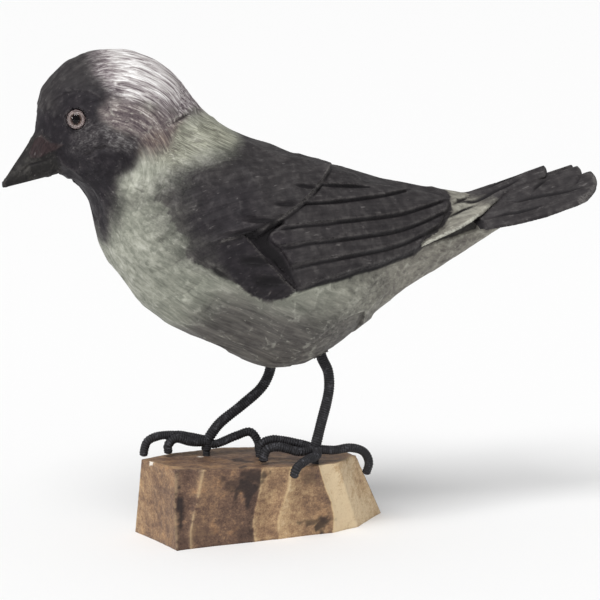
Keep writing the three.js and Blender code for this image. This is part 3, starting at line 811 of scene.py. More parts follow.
HOOD_PIVOT = (-88, 158)
DARK_WING = [(-28, 140), (-28.5, 131), (-33, 122), (-44, 117), (-54.5, 107.5), (-59.5, 99.5), (-57, 91),
             (-51.5, 81.5), (-46, 76.2), (-41.5, 73.4), (-35.5, 70), (-29.5, 67.3), (-23.5, 65.4), (-16, 65),
             (-12, 66), (6.5, 70.3), (26.5, 78), (47.5, 87.5), (61, 98), (66.5, 105), (67.5, 118), (60, 150)]
DARK_FACE = [(-135, 150), (-122, 178), (-110, 200), (-88, 212), (-87.5, 203), (-88, 198), (-87, 193.5),
             (-85, 189.5), (-86, 186), (-88, 183), (-88, 180), (-84, 176.5), (-76, 173), (-74, 170),
             (-75, 166), (-76, 163), (-78, 160.4), (-80, 157), (-81.5, 154), (-81.5, 151), (-81, 145),
             (-82, 138), (-84.5, 128), (-100, 130)]
CHEEK = [(-95.5, 179), (-90, 181), (-83, 177.5), (-74, 173.5), (-74, 168), (-90, 169), (-95.5, 166),
         (-99, 168), (-98, 174)]
HOOD = [(-96, 216), (-95, 206.5), (-95, 197.5), (-94, 189), (-83.5, 188), (-73.5, 186.5), (-65.5, 182.5),
        (-56, 180.5), (-44, 181.5), (-34, 184), (-60, 216)]
EAR = [(-95, 191), (-95, 185), (-91, 178), (-82.5, 175), (-74, 172.5), (-63.5, 175.5), (-56, 180.5),
       (-65.5, 184), (-83.5, 189)]
TAN = [(-86, 184), (-76, 184), (-64, 183), (-53.5, 180), (-60, 175.5), (-61.5, 169.5), (-69, 165),
       (-73.5, 168), (-79, 174), (-85.5, 178)]
HATCH = [(-66, 176.5), (-45, 181.5), (-30, 176), (-34, 168), (-49, 165), (-60.5, 160), (-68, 163.5)]
TAIL_RECESS = [(52, 123), (57.2, 128), (67, 131.5), (77, 135.3), (80.5, 133), (79, 128.6), (67.5, 126),
               (61.9, 125.2)]
TONGUE = [(64, 132), (65, 134.5), (69, 137.5), (72.4, 139), (78, 141.3), (82, 142), (88, 143), (88, 136),
          (81, 134), (73, 131), (65.6, 128.5), (58, 124), (54, 121), (52, 123), (59.9, 128.9)]
TAIL_END = [(71.5, 13.5), (69, 19), (65.5, 23), (58, 26)]


def tail_recess(x, z, tail_w):
    """How far in the hollow under the edge of the middle tail feathers each place is."""
    return inside(x, z, TAIL_RECESS, -0.5, 0.9) * smooth(0, -0.8, tail_w)


def inside(x, z, outline, low, high, stray=0.0):
    """Goes from 0 to 1 across the edge of an outline, which strays a little."""
    return smooth(low, high, polygon_depth(x, z, outline) + stray)


def comb_of(x, y, z):
    """Place measured along and across the way the brush and the knife ran."""
    ax = x - HOOD_PIVOT[0]
    az = z - HOOD_PIVOT[1]
    t = chart_height(y, z)
    u, v, w = tail_place(x, y, z)
    head = (np.arctan2(ax, az) * 36, np.hypot(ax, az), y)
    wing = (x * 0.96 + t * 0.2, t * 0.98 - x * 0.2 + 300, np.sign(y) * 40)
    tail = (u, v + 200, w + np.sign(y) * 50)
    body = (x * 0.9 - z * 0.42 - 70, z * 0.9 + x * 0.42 + 400, y)
    on_tail = (u > -6) & (w > -6) & (x > 62)
    on_wing = polygon_depth(x, t, DARK_WING) > -1
    return np.select([head_share(x, z) > 0.4, on_tail, on_wing], np.stack([head, tail, wing]), body).T


def hood_share(x, z):
    """Where the crown and nape are combed into fine hair."""
    return np.maximum(inside(x, z, HOOD, -3, 3), 0.5 * inside(x, z, EAR, -2, 2))


def wing_paint(x, t, wing, rough):
    """Share of the dark wing paint, soft at the shoulder and sharp elsewhere."""
    front = smooth(-8, -38, x) * smooth(72, 88, t) * smooth(130, 114, t)
    nape = smooth(-12, -24, x) * smooth(116, 126, t)
    soft = 0.9 + 34 * front + 9 * np.maximum(nape, smooth(-36, -44, x))
    reach = 5 * front + 8 * smooth(100, 106, t) * smooth(118, 110, t) * smooth(-20, -38, x)
    return smooth(-0.5, 0.5, (wing + reach + rough * (0.2 + 0.07 * soft)) / soft)


def tail_paint(u, v, w, rough):
    """Share of the dark tail paint: all but the pale tongue at the tail's root, with painted shadow on the
    tongue's side face.
    """
    tongue = smooth(-0.5, 0.5, (u - 15 - 0.7 * v + rough * 4) / 12)
    # Below the tongue's top: the lower tail feathers' own dark paint, and painted shadow on the tongue's side
    # face.
    beyond = smooth(-0.4, -0.9, w) * smooth(9, 10.5, u)
    return np.maximum(tongue, beyond) * smooth(-7, -4, w)


def pale_paint_and_highlight(x, z, u, w, face, rough):
    """Share of the lightest colour, partly pale paint and partly painted highlight: crown, neck, lower breast
    and the tail's tongue.
    """
    pale_and_highlight = inside(x, z, HOOD, -1, 7, rough * 2) * (1 - 0.6 * smooth(-62, -52, x))
    pale_and_highlight *= 1 - 0.8 * smooth(184, 190, z) * smooth(-10, -1, face)
    pale_and_highlight *= 1 - 0.2 * smooth(-74, -64, x) * smooth(198, 190, z)
    pale_and_highlight = np.where(z < 150, 0.6 * smooth(-62, -76, x) * smooth(140, 128, z), pale_and_highlight)
    pale_and_highlight = np.maximum(pale_and_highlight, 1.45 * smooth(181, 171, z) * smooth(148, 156, z) * smooth(-30, -50, x))
    tongue = 0.16 * (inside(x, z, TONGUE, -1.2, 1.2) + smooth(60, 66, x) * smooth(133, 137, z))
    return np.where(x > 56, tongue * smooth(20, 10, u) * smooth(-0.3, 0.3, w), pale_and_highlight)


def cuts_and_edges(x, z, t, tail, on_tail, facing, rough, chart):
    """How much painted shade each point gets in cuts, grooves and hollows, and how near a worn feather edge
    it is.
    """
    u, v, w = tail
    wing_reach = inside(x, t, DARK_WING, -2, 0)
    # Painted shadow under the rim of the tail's tongue.
    under_rim = smooth(0.4, -0.2, w) * smooth(13.5, 15, v) * smooth(14, 11, u) * (w > -1)
    tail_cut = np.maximum(cut_depth(u, v, TAIL_CUTS)[1] * smooth(-5, -3.5, w), under_rim)
    cut = np.where(on_tail | (x > 70), tail_cut, look_up(chart, "cut", x, t) * wing_reach)
    # Painted shade in the head's cut lines and in the hollow under the middle tail feathers.
    cut = np.maximum.reduce([cut, cut_depth(x, z, SIDE_CUTS)[1] * facing, 0.8 * tail_recess(x, z, w)])
    tongue_rim = np.abs(v - line_at(u, TAIL_FEATHERS[0]["edge"]))
    end = line_distance(u, v, TAIL_END)[0] + rough
    end = np.minimum(end, 1.5 * tongue_rim + 4 * smooth(12, 18, u))
    edge = np.where(on_tail, tent(end, 3, 1.2), look_up(chart, "edge", x, t) * wing_reach)
    return held(cut), held(edge)


def paint(verts, normals, faces, chart):
    """How much of each paint and of wear and shade is at each point."""
    x, y, z = verts.T
    t = chart_height(y, z)
    u, v, w = tail_place(x, y, z)
    rough = layered(lattice(11), verts * 0.13, 3)
    facing = smooth(0.25, 0.5, np.abs(normals[:, 1]))
    on_wing = wing_paint(x, t, polygon_depth(x, t, DARK_WING), rough)
    on_tail = (tail_distance(x, y, z) < 0.5) & (x > 48) & (u - line_at(v, TAIL_EMERGES) > 0.5)
    face = polygon_depth(x, z, DARK_FACE)
    spread = 6 + 8 * smooth(179, 168, z) + 7 * smooth(183, 190, z)
    dark_face = smooth(-0.5, 0.5, (face + rough * 2) / spread) * smooth(-48, -60, x)
    dark = np.maximum(np.where(on_tail, tail_paint(u, v, w, rough), on_wing), dark_face)
    cheek = inside(x, z, CHEEK, -3, 3, rough) * (0.55 + 0.45 * smooth(-92, -82, x))
    bill = smooth(-102.5, -105.5, x + (z - 163) * 0.42) * smooth(176, 170, z)
    bristle = inside(x, z, BRISTLES, -0.3, 0.6) * smooth(0.2, 0.5, np.abs(normals[:, 1]))
    cut, edge = cuts_and_edges(x, z, t, (u, v, w), on_tail, facing, rough, chart)
    # Darker towards the underside, low on the wing, at the shoulder and on the lower face: partly darker
    # paint, partly painted shade.
    belly = smooth(122, 86, z + 0.18 * (x + 20)) * smooth(-66, -40, x)
    under_wing = 0.85 * smooth(92, 82, t) * smooth(-8, -22, x)
    shoulder = 0.7 * smooth(112, 100, t) * smooth(-20, -34, x)
    belly = np.where(on_wing > 0.5, np.maximum(under_wing, shoulder), belly)
    brow = np.maximum(smooth(-108, -101, x), smooth(186, 180, z))
    belly = np.maximum(belly, dark_face * smooth(197, 188, z) * brow)
    layers = {
        "paint": (dark, inside(x, z, HOOD, -4, 4, rough), inside(x, z, TAN, -5, 3, rough * 2), belly),
        "more": (inside(x, z, EAR, -4, 3, rough * 1.5), cheek, inside(x, z, HATCH, -5, 5, rough * 2),
                 pale_paint_and_highlight(x, z, u, w, face, rough)),
        # Painted shade in cuts, worn edges, the bill and its bristles.
        "shade_and_wear": (cut, edge, bill, bristle),
    }
    layers = {name: np.stack(layer, 1) for name, layer in layers.items()}
    return {**layers, "bend": curvature(verts, normals, faces, rounds=3), "comb": comb_of(x, y, z)}


def curvature(verts, normals, faces, rounds):
    """How far each point stands proud of its neighbours, in millimetres."""
    pairs = np.concatenate([faces[:, [k, (k + 1) % faces.shape[1]]] for k in range(faces.shape[1])])
    pairs = np.concatenate([pairs, pairs[:, ::-1]])
    count = np.maximum(np.bincount(pairs[:, 0], minlength=len(verts)), 1)
    level = verts
    for _ in range(rounds):
        level = np.stack([np.bincount(pairs[:, 0], level[pairs[:, 1], k], len(verts)) for k in range(3)], 1)
        level = level / count[:, None]
    return np.sum((verts - level) * normals, 1)


# Objects

LAYER_KINDS = {1: ("FLOAT", "value"), 3: ("FLOAT_VECTOR", "vector"), 4: ("FLOAT_COLOR", "color")}


def at_metres(points):
    return (np.asarray(points, float) - [FRAME_SHIFT, 0, 0]) * MM


def linked(name, data):
    obj = bpy.data.objects.new(name, data)
    bpy.context.scene.collection.objects.link(obj)
    return obj


def new_object(name, verts, faces, node):
    mesh = bpy.data.meshes.new(name)
    corners = [[int(i) for i in face] for face in faces]
    mesh.from_pydata(at_metres(verts).tolist(), [], corners, shade_flat=False)
    obj = linked(name, mesh)
    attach(obj, "root")
    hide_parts(node)
    return obj


def fewer_faces(verts, quads, most):
    """The same skin in at most that many triangles, finest where it bends most."""
    mesh = bpy.data.meshes.new("work")
    mesh.from_pydata(verts.tolist(), [], quads.tolist())
    obj = linked("work", mesh)
    thin = obj.modifiers.new("thin", "DECIMATE")
    thin.ratio = min(1.0, most / (2 * len(quads)))
    thin.use_collapse_triangulate = True
    done = bpy.data.meshes.new_from_object(obj.evaluated_get(bpy.context.evaluated_depsgraph_get()))
    points = np.array([v.co[:] for v in done.vertices])
    faces = np.array([face.vertices[:] for face in done.polygons])
    bpy.data.objects.remove(obj)
    bpy.data.meshes.remove(mesh)
    bpy.data.meshes.remove(done)
    return points, faces


def hoop_faces(rings, sides):
    """Quads between rings of points that follow one another."""
    out = []
    for r in range(0, (rings - 1) * sides, sides):
        for c in range(sides):
            d = (c + 1) % sides
            out.append((r + c, r + d, r + sides + d, r + sides + c))
    return out


def closed_faces(rings, sides):
    """The same, closed by two more points: one past the last ring, one before the first."""
    out = hoop_faces(rings, sides)
    end = rings * sides
    for c in range(sides):
        d = (c + 1) % sides
        out += [(end - sides + c, end - sides + d, end), (d, c, end + 1)]
    return out


def add_layers(obj, layers):
    for name, data in layers.items():
        kind, field = LAYER_KINDS[data.size // len(data)]
        layer = obj.data.attributes.new(name, kind, "POINT")
        layer.data.foreach_set(field, np.ascontiguousarray(data, dtype=np.float32).ravel())


def make_bird():
    rng = np.random.default_rng(SEED)
    chart = wing_charts()
    field = bird_field(chart)
    verts, quads = surface_of(field, BIRD_LOW, BIRD_HIGH, CELL)
    verts = settle(field, verts, rounds=2, most=0.3)
    verts = carve(verts, quads, chart, rng)
    verts, faces = fewer_faces(verts, quads, BIRD_FACES)
    obj = new_object("painted_bird", verts, faces, "carved_bird")
    add_layers(obj, paint(verts, vertex_normals(verts, faces), faces, chart))
    return obj


# Eyes

def turned(profile, sides):
    """Points and faces of a profile of (off, along) turned about the axis it starts and ends on."""
    turn = np.arange(sides) * 2 * math.pi / sides
    rings = [np.stack([off * np.cos(turn), off * np.sin(turn), 0 * turn + along], 1)
             for off, along in profile[1:-1]]
    poles = [(0, 0, profile[-1][1]), (0, 0, profile[0][1])]
    return np.vstack(rings + poles), closed_faces(len(rings), sides)


def set_square(verts, at, out):
    """Stands turned points with their axis along a direction."""
    side = unit(np.cross([0.0, 0.0, 1.0], out))
    up = np.cross(out, side)
    return at + verts[:, :1] * side + verts[:, 1:2] * up + verts[:, 2:] * out


def make_eyes():
    """Glass domes, each over a painted iris that fills its back."""
    ball = (EYE_R**2 + EYE_DOME**2) / (2 * EYE_DOME)
    sweep = np.linspace(math.asin(EYE_R / ball), 0, 12)
    dome = [(math.sin(a) * ball, math.cos(a) * ball - ball + EYE_DOME) for a in sweep]
    glass_profile = [(0, -EYE_DEPTH), (EYE_R - 0.1, -EYE_DEPTH), *dome]
    iris_profile = [(0, -EYE_DEPTH + 0.4), (EYE_R - 0.3, -EYE_DEPTH + 0.4), (EYE_R - 0.15, -EYE_DEPTH + 0.6),
                    (EYE_R - 0.12, -0.5), (3.4, -0.4), (2.4, -0.45), (1.6, -0.5), (0, -0.55)]
    made = []
    for side, name in ((-1, "left_eye"), (1, "right_eye")):
        at, out = eye_frame(side)
        verts, faces = turned(glass_profile, EYE_SIDES)
        glass = new_object(name + "_glass", set_square(verts, at, out), faces, name)
        verts, faces = turned(iris_profile, EYE_SIDES)
        iris = new_object(name + "_iris", set_square(verts, at, out), faces, name)
        ring = np.hypot(verts[:, 0], verts[:, 1])
        add_layers(iris, {"ring": np.where(verts[:, 2] < -1, 9.0, ring)})
        made.append((glass, iris))
    return made


# Legs

def smooth_path(points, step):
    """Evenly spaced points on a centripetal curve through the given ones."""
    pts = np.array(points, float)
    ends = np.vstack([2 * pts[0] - pts[1], pts, 2 * pts[-1] - pts[-2]])
    out = []
    for i in range(len(pts) - 1):
        level = ends[i:i + 4]
        k = np.cumsum([0, *np.linalg.norm(np.diff(level, axis=0), axis=1) ** 0.5])
        s = np.linspace(k[1], k[2], CURVE_STEPS, endpoint=False)[:, None]
        for spans in (((0, 1), (1, 2), (2, 3)), ((0, 2), (1, 3)), ((1, 2),)):
            level = [((k[q] - s) * a + (s - k[p]) * b) / (k[q] - k[p])
                     for (p, q), a, b in zip(spans, level, level[1:])]
        out.append(level[0])
    path = np.vstack([*out, pts[-1:]])
    gone = np.cumsum([0, *np.linalg.norm(np.diff(path, axis=0), axis=1)])
    at = np.linspace(0, gone[-1], max(2, int(gone[-1] / step)))
    return np.stack([np.interp(at, gone, path[:, k]) for k in range(3)], 1), at


def wound_tube(points, radius, seed):
    """A wire wound with cord in close turns, rounded over at its end."""
    rng = np.random.default_rng(seed)
    path, at = smooth_path(points, CORD_PITCH / CORD_STEPS)
    run = unit(np.gradient(path, axis=0))
    side = unit(np.cross(run[0], [0.3, 0.9, 0.2]))
    drift = np.interp(at, np.linspace(0, at[-1], 12), rng.uniform(-CORD_DRIFT, CORD_DRIFT, 12))
    swell = np.interp(at, np.linspace(0, at[-1], 16), rng.uniform(-0.1, 0.04, 16))
    around = np.arange(CORD_SIDES) * 2 * math.pi / CORD_SIDES
    verts = []
    layers = []
    for i, (p, d) in enumerate(zip(path, run)):
        side = unit(side - d * (side @ d))
        ring = np.outer(np.cos(around), side) + np.outer(np.sin(around), np.cross(d, side))
        cap = math.sqrt(1 - max(0.0, 1 - (at[-1] - at[i]) / (radius * 0.7)) ** 2)
        turn = (at[i] + drift[i]) / CORD_PITCH + around / (2 * math.pi)
        bump = np.abs(np.sin(math.pi * turn))
        r = (radius - CORD_SUNK + CORD_RISE * bump + swell[i]) * max(cap, 0.08)
        verts.append(p + ring * r[:, None])
        layers.append(np.stack([bump, turn, around], 1))
    faces = hoop_faces(len(path), CORD_SIDES)
    end = len(path) * CORD_SIDES
    faces += [range(CORD_SIDES)[::-1], range(end - CORD_SIDES, end)]
    return np.vstack(verts), faces, np.vstack(layers)


def make_legs():
    made = []
    for number, (name, leg) in enumerate(LEGS.items()):
        x, y, z = leg["peg"][0]
        wrap = [(x, y, z), (x, y, z - ANKLE_WRAP)]
        runs = [(leg["shank"], LEG_R), (leg["peg"], PEG_R), (wrap, LEG_R)]
        runs += [(toe, TOE_R) for toe in leg["toes"]]
        verts = []
        faces = []
        layers = []
        for k, (points, radius) in enumerate(runs):
            start = sum(len(v) for v in verts)
            v, f, layer = wound_tube(points, radius, 100 * number + k)
            verts.append(v)
            layers.append(layer)
            faces += [[i + start for i in face] for face in f]
        obj = new_object("wound_" + name + "_leg", np.vstack(verts), faces, name + "_leg")
        layers = np.vstack(layers)
        add_layers(obj, {"groove": layers[:, 0], "comb": layers})
        made.append(obj)
    return made


# Block

# Tone of each cut at its two ends: partly its own depth of stain, partly painted shade, lighter or darker as
# light falls on that cut.
BLOCK_STAIN_AND_SHADE = [(0.2, 0.42), (0.46, 0.27), (0.78, 0.6), (0.9, 0.46), (1.28, 1.16), (1.12, 1.0),
               (0.7, 0.5), (0.6, 0.4), (0.6, 0.45), (0.5, 0.65), (0.5, 0.7), (0.63, 0.47)]
BLOCK_HEIGHTS = [0, 0.22, 0.45, 0.7, 1]
BLOCK_DRIFT = {
    0: [0, -1.4, -1.7, -1.7, -1.6],
    1: [0.3, -1.2, -1.1, -0.4, 0],
    2: [0.4, -0.9, -0.2, 2.0, 2.6],
    3: [-0.3, -1.4, -0.3, 2.4, 2.6],
    4: [0.8, 3.0, 3.1, 1.4, 0.5],
    7: [0, 1.2, 1.8, 0.6, 0.4],
    8: [0, -1.5, -0.6, 1.2, 1.8],
    9: [0, 1.4, 0.8, -0.6, -1],
    10: [0, -0.8, -1.2, -0.4, 0.6],
}
BLOCK_EDGES = [0.5, 0.8, 0.9, 0.8, 1, 0, 0.6, 0.5, 0.7, 0.8, 0.7, 0.7]
# Blots on the block's near side: x, z, half width, half height, and how dark.
BLOCK_STAINS = [
    (-27.5, 24, 4.5, 5.5, 0.9),
    (-25, 29, 5.5, 3.5, 0.75),
    (-32, 27, 6, 3, 0.55),
    (-56, 18, 1.2, 7, 0.9),
    (4, 6, 8, 1.6, 0.7),
    (8, 5, 2.5, 5, 0.85),
    (2, 26, 5, 3, 0.45),
    (-48, 6, 9, 4, 0.35),
    (-28, 5, 6, 4, 0.4),
]
# Pale spots on the block's top, centre and size; the one by the far foot is a painted highlight on the glue
# there.
BLOCK_FLECKS_AND_GLINT = [((-64.2, 0, 33.5), 1.5), ((-39, 10.5, 32.6), 1.3)]


def block_top(x):
    return BLOCK_HEIGHT - BLOCK_FALL * (x - BLOCK_MIDDLE[0])


def block_columns(rows):
    """Upright lines of points round the block, bent like the edges between its cuts."""
    foot = np.array([(x, y, 0.0) for x, y in BLOCK_FOOT])
    head = np.array([(x, y, block_top(x)) for x, y in BLOCK_TOP])
    f = np.linspace(0, 1, rows + 1)[:, None]
    edges = []
    for k in range(len(foot)):
        way = unit(foot[(k + 1) % len(foot)] - foot[k - 1])
        drift = np.interp(f, BLOCK_HEIGHTS, BLOCK_DRIFT.get(k, [0] * len(BLOCK_HEIGHTS)))
        edges.append(foot[k] * (1 - f) + head[k] * f + way * drift)
    columns = []
    marks = []
    for k, a in enumerate(edges):
        after = (k + 1) % len(edges)
        b = edges[after]
        count = max(4, int(np.linalg.norm(b[0] - a[0]) / BLOCK_STEP))
        for c in range(count):
            columns.append(a + (b - a) * c / count)
            tint = np.interp(c / count, [0, 1], BLOCK_STAIN_AND_SHADE[k])
            off = min(c, count - c)
            rim = BLOCK_EDGES[k if c < count - c else after] * math.exp(-off / RIM_FADE)
            marks.append((tint, off / count, rim))
    return np.array(columns).transpose(1, 0, 2), np.array(marks)


def block_stain(p):
    """How dark each point of the block is stained, in blots with ragged rims."""
    ragged = layered(lattice(33), p * 0.34, 4)
    out = np.zeros(len(p))
    for x, z, wide, high, deep in BLOCK_STAINS:
        far = np.sqrt(((p[:, 0] - x) / wide) ** 2 + ((p[:, 2] - z) / high) ** 2)
        out = np.maximum(out, deep * smooth(1.4, 0.5, far + 0.75 * ragged) * (p[:, 1] < 5))
    return out


def block_fleck_and_glint(p):
    """Pale spots on the block: a drop of pale paint, and the glue by the far foot painted pale where its
    highlight lies.
    """
    ragged = layered(lattice(34), p * 0.6, 3)
    out = np.zeros(len(p))
    for at, size in BLOCK_FLECKS_AND_GLINT:
        out = np.maximum(out, smooth(1.3, 0.7, np.linalg.norm(p - at, axis=1) / size + 0.5 * ragged))
    return out


def make_block():
    """Knife-cut block: each cut is a shallow scoop between worn edges."""
    sides, marks = block_columns(BLOCK_ROWS)
    count = sides.shape[1]
    noise = lattice(31)
    middle = np.array([*BLOCK_MIDDLE, 0.0])
    height = np.repeat(np.linspace(0, 1, BLOCK_ROWS + 1), count)
    p = sides.reshape(-1, 3)
    tint, to_edge, edge = np.tile(marks.T, BLOCK_ROWS + 1)
    scoop = 4 * to_edge * (1 - to_edge) * np.sin(math.pi * np.clip(height, 0.04, 0.96)) ** 0.5
    deep = BLOCK_SCOOP * scoop * (1 + 0.35 * layered(noise, p * 0.12, 3))
    deep += 0.12 * layered(noise, p * 0.5, 3) * smooth(0, 0.03, height)
    deep += 0.35 * held(layered(noise, p * 0.7 + 9, 2) - 0.15) * smooth(0.05, 0, height)
    deep += 0.9 * held(layered(noise, p * 0.45 + 5, 3)) * smooth(0.94, 1, height)
    p = p + unit((middle - p) * [1, 1, 0]) * np.maximum(deep, 0)[:, None]
    ring = p[-count:]
    tip = np.array([*BLOCK_MIDDLE, block_top(BLOCK_MIDDLE[0])])
    parts = [p]
    layers = [np.stack([tint, edge], 1)]
    for r in range(1, BLOCK_RINGS):
        q = ring + (tip - ring) * r / BLOCK_RINGS
        q[:, 2] -= (0.25 + 0.25 * layered(noise, q * 0.09, 3)) * smooth(0, 0.12, r / BLOCK_RINGS)
        parts.append(q)
        near_rim = np.full(count, TOP_TINT + 0.35 * math.exp(-r / 2))
        layers.append(np.stack([near_rim, 0.5 * edge[-count:] * (r == 1)], 1))
    verts = np.vstack([*parts, tip - [0, 0, 0.25], middle])
    tint, rim = np.vstack([*layers, (TOP_TINT, 0), (TOP_TINT, 0)]).T
    obj = new_object("stained_block", verts, closed_faces(BLOCK_ROWS + BLOCK_RINGS, count), "base_block")
    add_layers(obj, {"facet": tint, "rim": rim, "stain": block_stain(verts), "fleck": block_fleck_and_glint(verts)})
    return obj


# Materials

def rgb(*screen):
    """Colour given as it looks on a screen, 0 to 255."""
    parts = [v / 255 for v in screen]
    return (*[v / 12.92 if v <= 0.04045 else ((v + 0.055) / 1.055) ** 2.4 for v in parts], 1)


class Graph:
    """Short words for joining shader nodes."""

    def __init__(self, name):
        self.material = bpy.data.materials.new(name)
        self.material.use_nodes = True
        self.tree = self.material.node_tree
        self.tree.nodes.clear()
        self.shader = self.add("BsdfPrincipled")
        self.add("OutputMaterial", {0: self.shader.outputs[0]})

    def put(self, socket, value):
        if isinstance(value, bpy.types.NodeSocket):
            self.tree.links.new(value, socket)
        else:
            socket.default_value = value

    def add(self, kind, values=(), **settings):
        """A node with its settings, and its sockets filled by name or number."""
        node = self.tree.nodes.new("ShaderNode" + kind)
        for key, value in settings.items():
            setattr(node, key, value)
        for key, value in dict(values).items():
            self.put(node.inputs[key], value)
        return node

    def layer(self, name, output="Fac"):
        return self.add("Attribute", attribute_name=name).outputs[output]

    def parts(self, name):
        """The four shares that one layer holds."""
        split = self.add("SeparateColor", {0: self.layer(name, "Color")})
        return [*split.outputs, self.layer(name, "Alpha")]

    def math(self, how, *values):
        return self.add("Math", enumerate(values), operation=how).outputs[0]

    def times(self, a, b):
        return self.math("MULTIPLY", a, b)

    def sum(self, *terms):
        """Adds values, each times its own factor."""
        total = 0.0
        for value, factor in terms:
            total = self.math("MULTIPLY_ADD", value, factor, total)
        return total

    def scaled(self, vector, factors):
        return self.add("VectorMath", {0: vector, 1: factors}, operation="MULTIPLY").outputs[0]

    def place(self):
        """Position on the object in millimetres."""
        return self.scaled(self.add("TexCoord").outputs["Object"], (1000, 1000, 1000))

    def noise(self, vector, scale, detail=3.0, rough=0.55, twist=0.0):
        values = {"Vector": vector, "Scale": scale, "Detail": detail, "Roughness": rough, "Distortion": twist}
        return self.add("TexNoise", values).outputs["Fac"]

    def range(self, value, low, high, to_low=0.0, to_high=1.0):
        values = {"Value": value, "From Min": low, "From Max": high, "To Min": to_low, "To Max": to_high}
        return self.add("MapRange", values, interpolation_type="SMOOTHSTEP").outputs["Result"]

    def mix(self, factor, a, b, most=1.0):
        """Goes from a to b by a factor, times the most that it may reach."""
        if most < 1:
            factor = self.times(factor, most)
        return self.add("Mix", {0: factor, 6: a, 7: b}, data_type="RGBA").outputs[2]

    def ramp(self, value, *stops):
        """Colours of a ramp, each stop a place and a colour as it looks on a screen."""
        node = self.add("ValToRGB", {0: value})
        elements = node.color_ramp.elements
        while len(elements) < len(stops):
            elements.new(0.5)
        for element, (at, *colour) in zip(elements, stops):
            element.position = at
            element.color = rgb(*colour)
        return node.outputs[0]

    def bump(self, height, distance, strength):
        values = {"Height": height, "Distance": distance * MM, "Strength": strength}
        return self.add("Bump", values).outputs[0]

    def finish(self, colour, roughness, **more):
        """Fills the shader's sockets, in whose names _ stands for a space."""
        for key, value in {"Base_Color": colour, "Roughness": roughness, **more}.items():
            self.put(self.shader.inputs[key.replace("_", " ")], value)
        return self.material


def body_paint(g, tone, place, shares):
    """Pale grey-green, browner to the rear, with painted light on the breast and neck, and darker on the
    belly, partly darker paint and partly painted shade.
    """
    hood, belly, hatch, pale_and_highlight = shares
    x = g.add("SeparateXYZ", {0: place}).outputs[0]
    pale = g.ramp(tone, (0.36, 97, 99, 90), (0.46, 126, 128, 117), (0.54, 146, 147, 135),
                  (0.66, 176, 177, 164))
    brown = g.ramp(tone, (0.36, 82, 78, 74), (0.46, 114, 110, 103), (0.54, 134, 131, 121),
                   (0.66, 164, 160, 149))
    light = g.ramp(tone, (0.4, 128, 130, 118), (0.54, 182, 183, 170), (0.64, 214, 214, 204))
    low = g.ramp(tone, (0.38, 60, 57, 56), (0.5, 86, 83, 80), (0.64, 110, 107, 101))
    scrub = g.ramp(g.fine, (0.4, 82, 78, 68), (0.52, 138, 138, 122), (0.64, 180, 180, 162))
    colour = g.mix(g.range(x, -20, 45), pale, brown)
    # Painted light on the breast and neck, partly pale paint.
    colour = g.mix(g.times(pale_and_highlight, g.math("SUBTRACT", 1.0, hood)), colour, light, 0.55)
    # Darker on the belly: partly darker paint, partly painted shade.
    colour = g.mix(g.range(g.sum((belly, 1.0), (g.cloud, 0.8)), 0.55, 1.3), colour, low)
    return g.mix(hatch, colour, scrub, 0.7)


def crown_paint(g, colour, shares):
    """Combed hair: rusty behind the cheek, flecked over the ear, silver on the crown, brighter under a
    painted highlight.
    """
    hood, tan, ear, pale_and_highlight = shares
    flecked = g.sum((g.streak, 0.75), (g.grain, 0.25))
    # The silver is raised where the painted highlight lies.
    shining = g.sum((g.streak, 1.0), (pale_and_highlight, 0.14), (-0.09, 1.0))
    rust = g.ramp(g.streak, (0.38, 60, 49, 53), (0.48, 92, 79, 79), (0.56, 122, 109, 102),
                  (0.68, 166, 152, 140))
    fleck = g.ramp(flecked, (0.38, 66, 56, 61), (0.47, 98, 88, 90), (0.55, 132, 123, 120),
                   (0.65, 206, 200, 196))
    silver = g.ramp(shining, (0.36, 82, 73, 77), (0.45, 138, 129, 131), (0.54, 196, 191, 190),
                    (0.66, 250, 249, 248))
    colour = g.mix(tan, colour, rust)
    colour = g.mix(ear, colour, fleck)
    return g.mix(hood, colour, silver)


def dark_paint(g, night, shares):
    """Charcoal, nearly black in the shaded places and rubbed grey on the cheek."""
    belly, cheek = shares
    rubbed = g.sum((g.fine, 0.6), (g.blotch, 0.4))
    black = g.ramp(night, (0.36, 36, 33, 35), (0.5, 50, 47, 48), (0.64, 68, 65, 65))
    dusk = g.ramp(night, (0.36, 20, 16, 21), (0.5, 30, 26, 31), (0.64, 46, 41, 45))
    wash = g.ramp(rubbed, (0.4, 50, 46, 48), (0.52, 86, 82, 83), (0.62, 146, 143, 142))
    return g.mix(cheek, g.mix(belly, black, dusk), wash, 0.68)


def bill_paint(g, colour, night, bill, bristle):
    horn = g.ramp(night, (0.36, 24, 22, 23), (0.5, 36, 34, 33), (0.66, 64, 62, 58))
    plum = g.ramp(g.fine, (0.35, 32, 22, 24), (0.65, 52, 39, 40))
    return g.mix(bristle, g.mix(bill, colour, horn), plum)


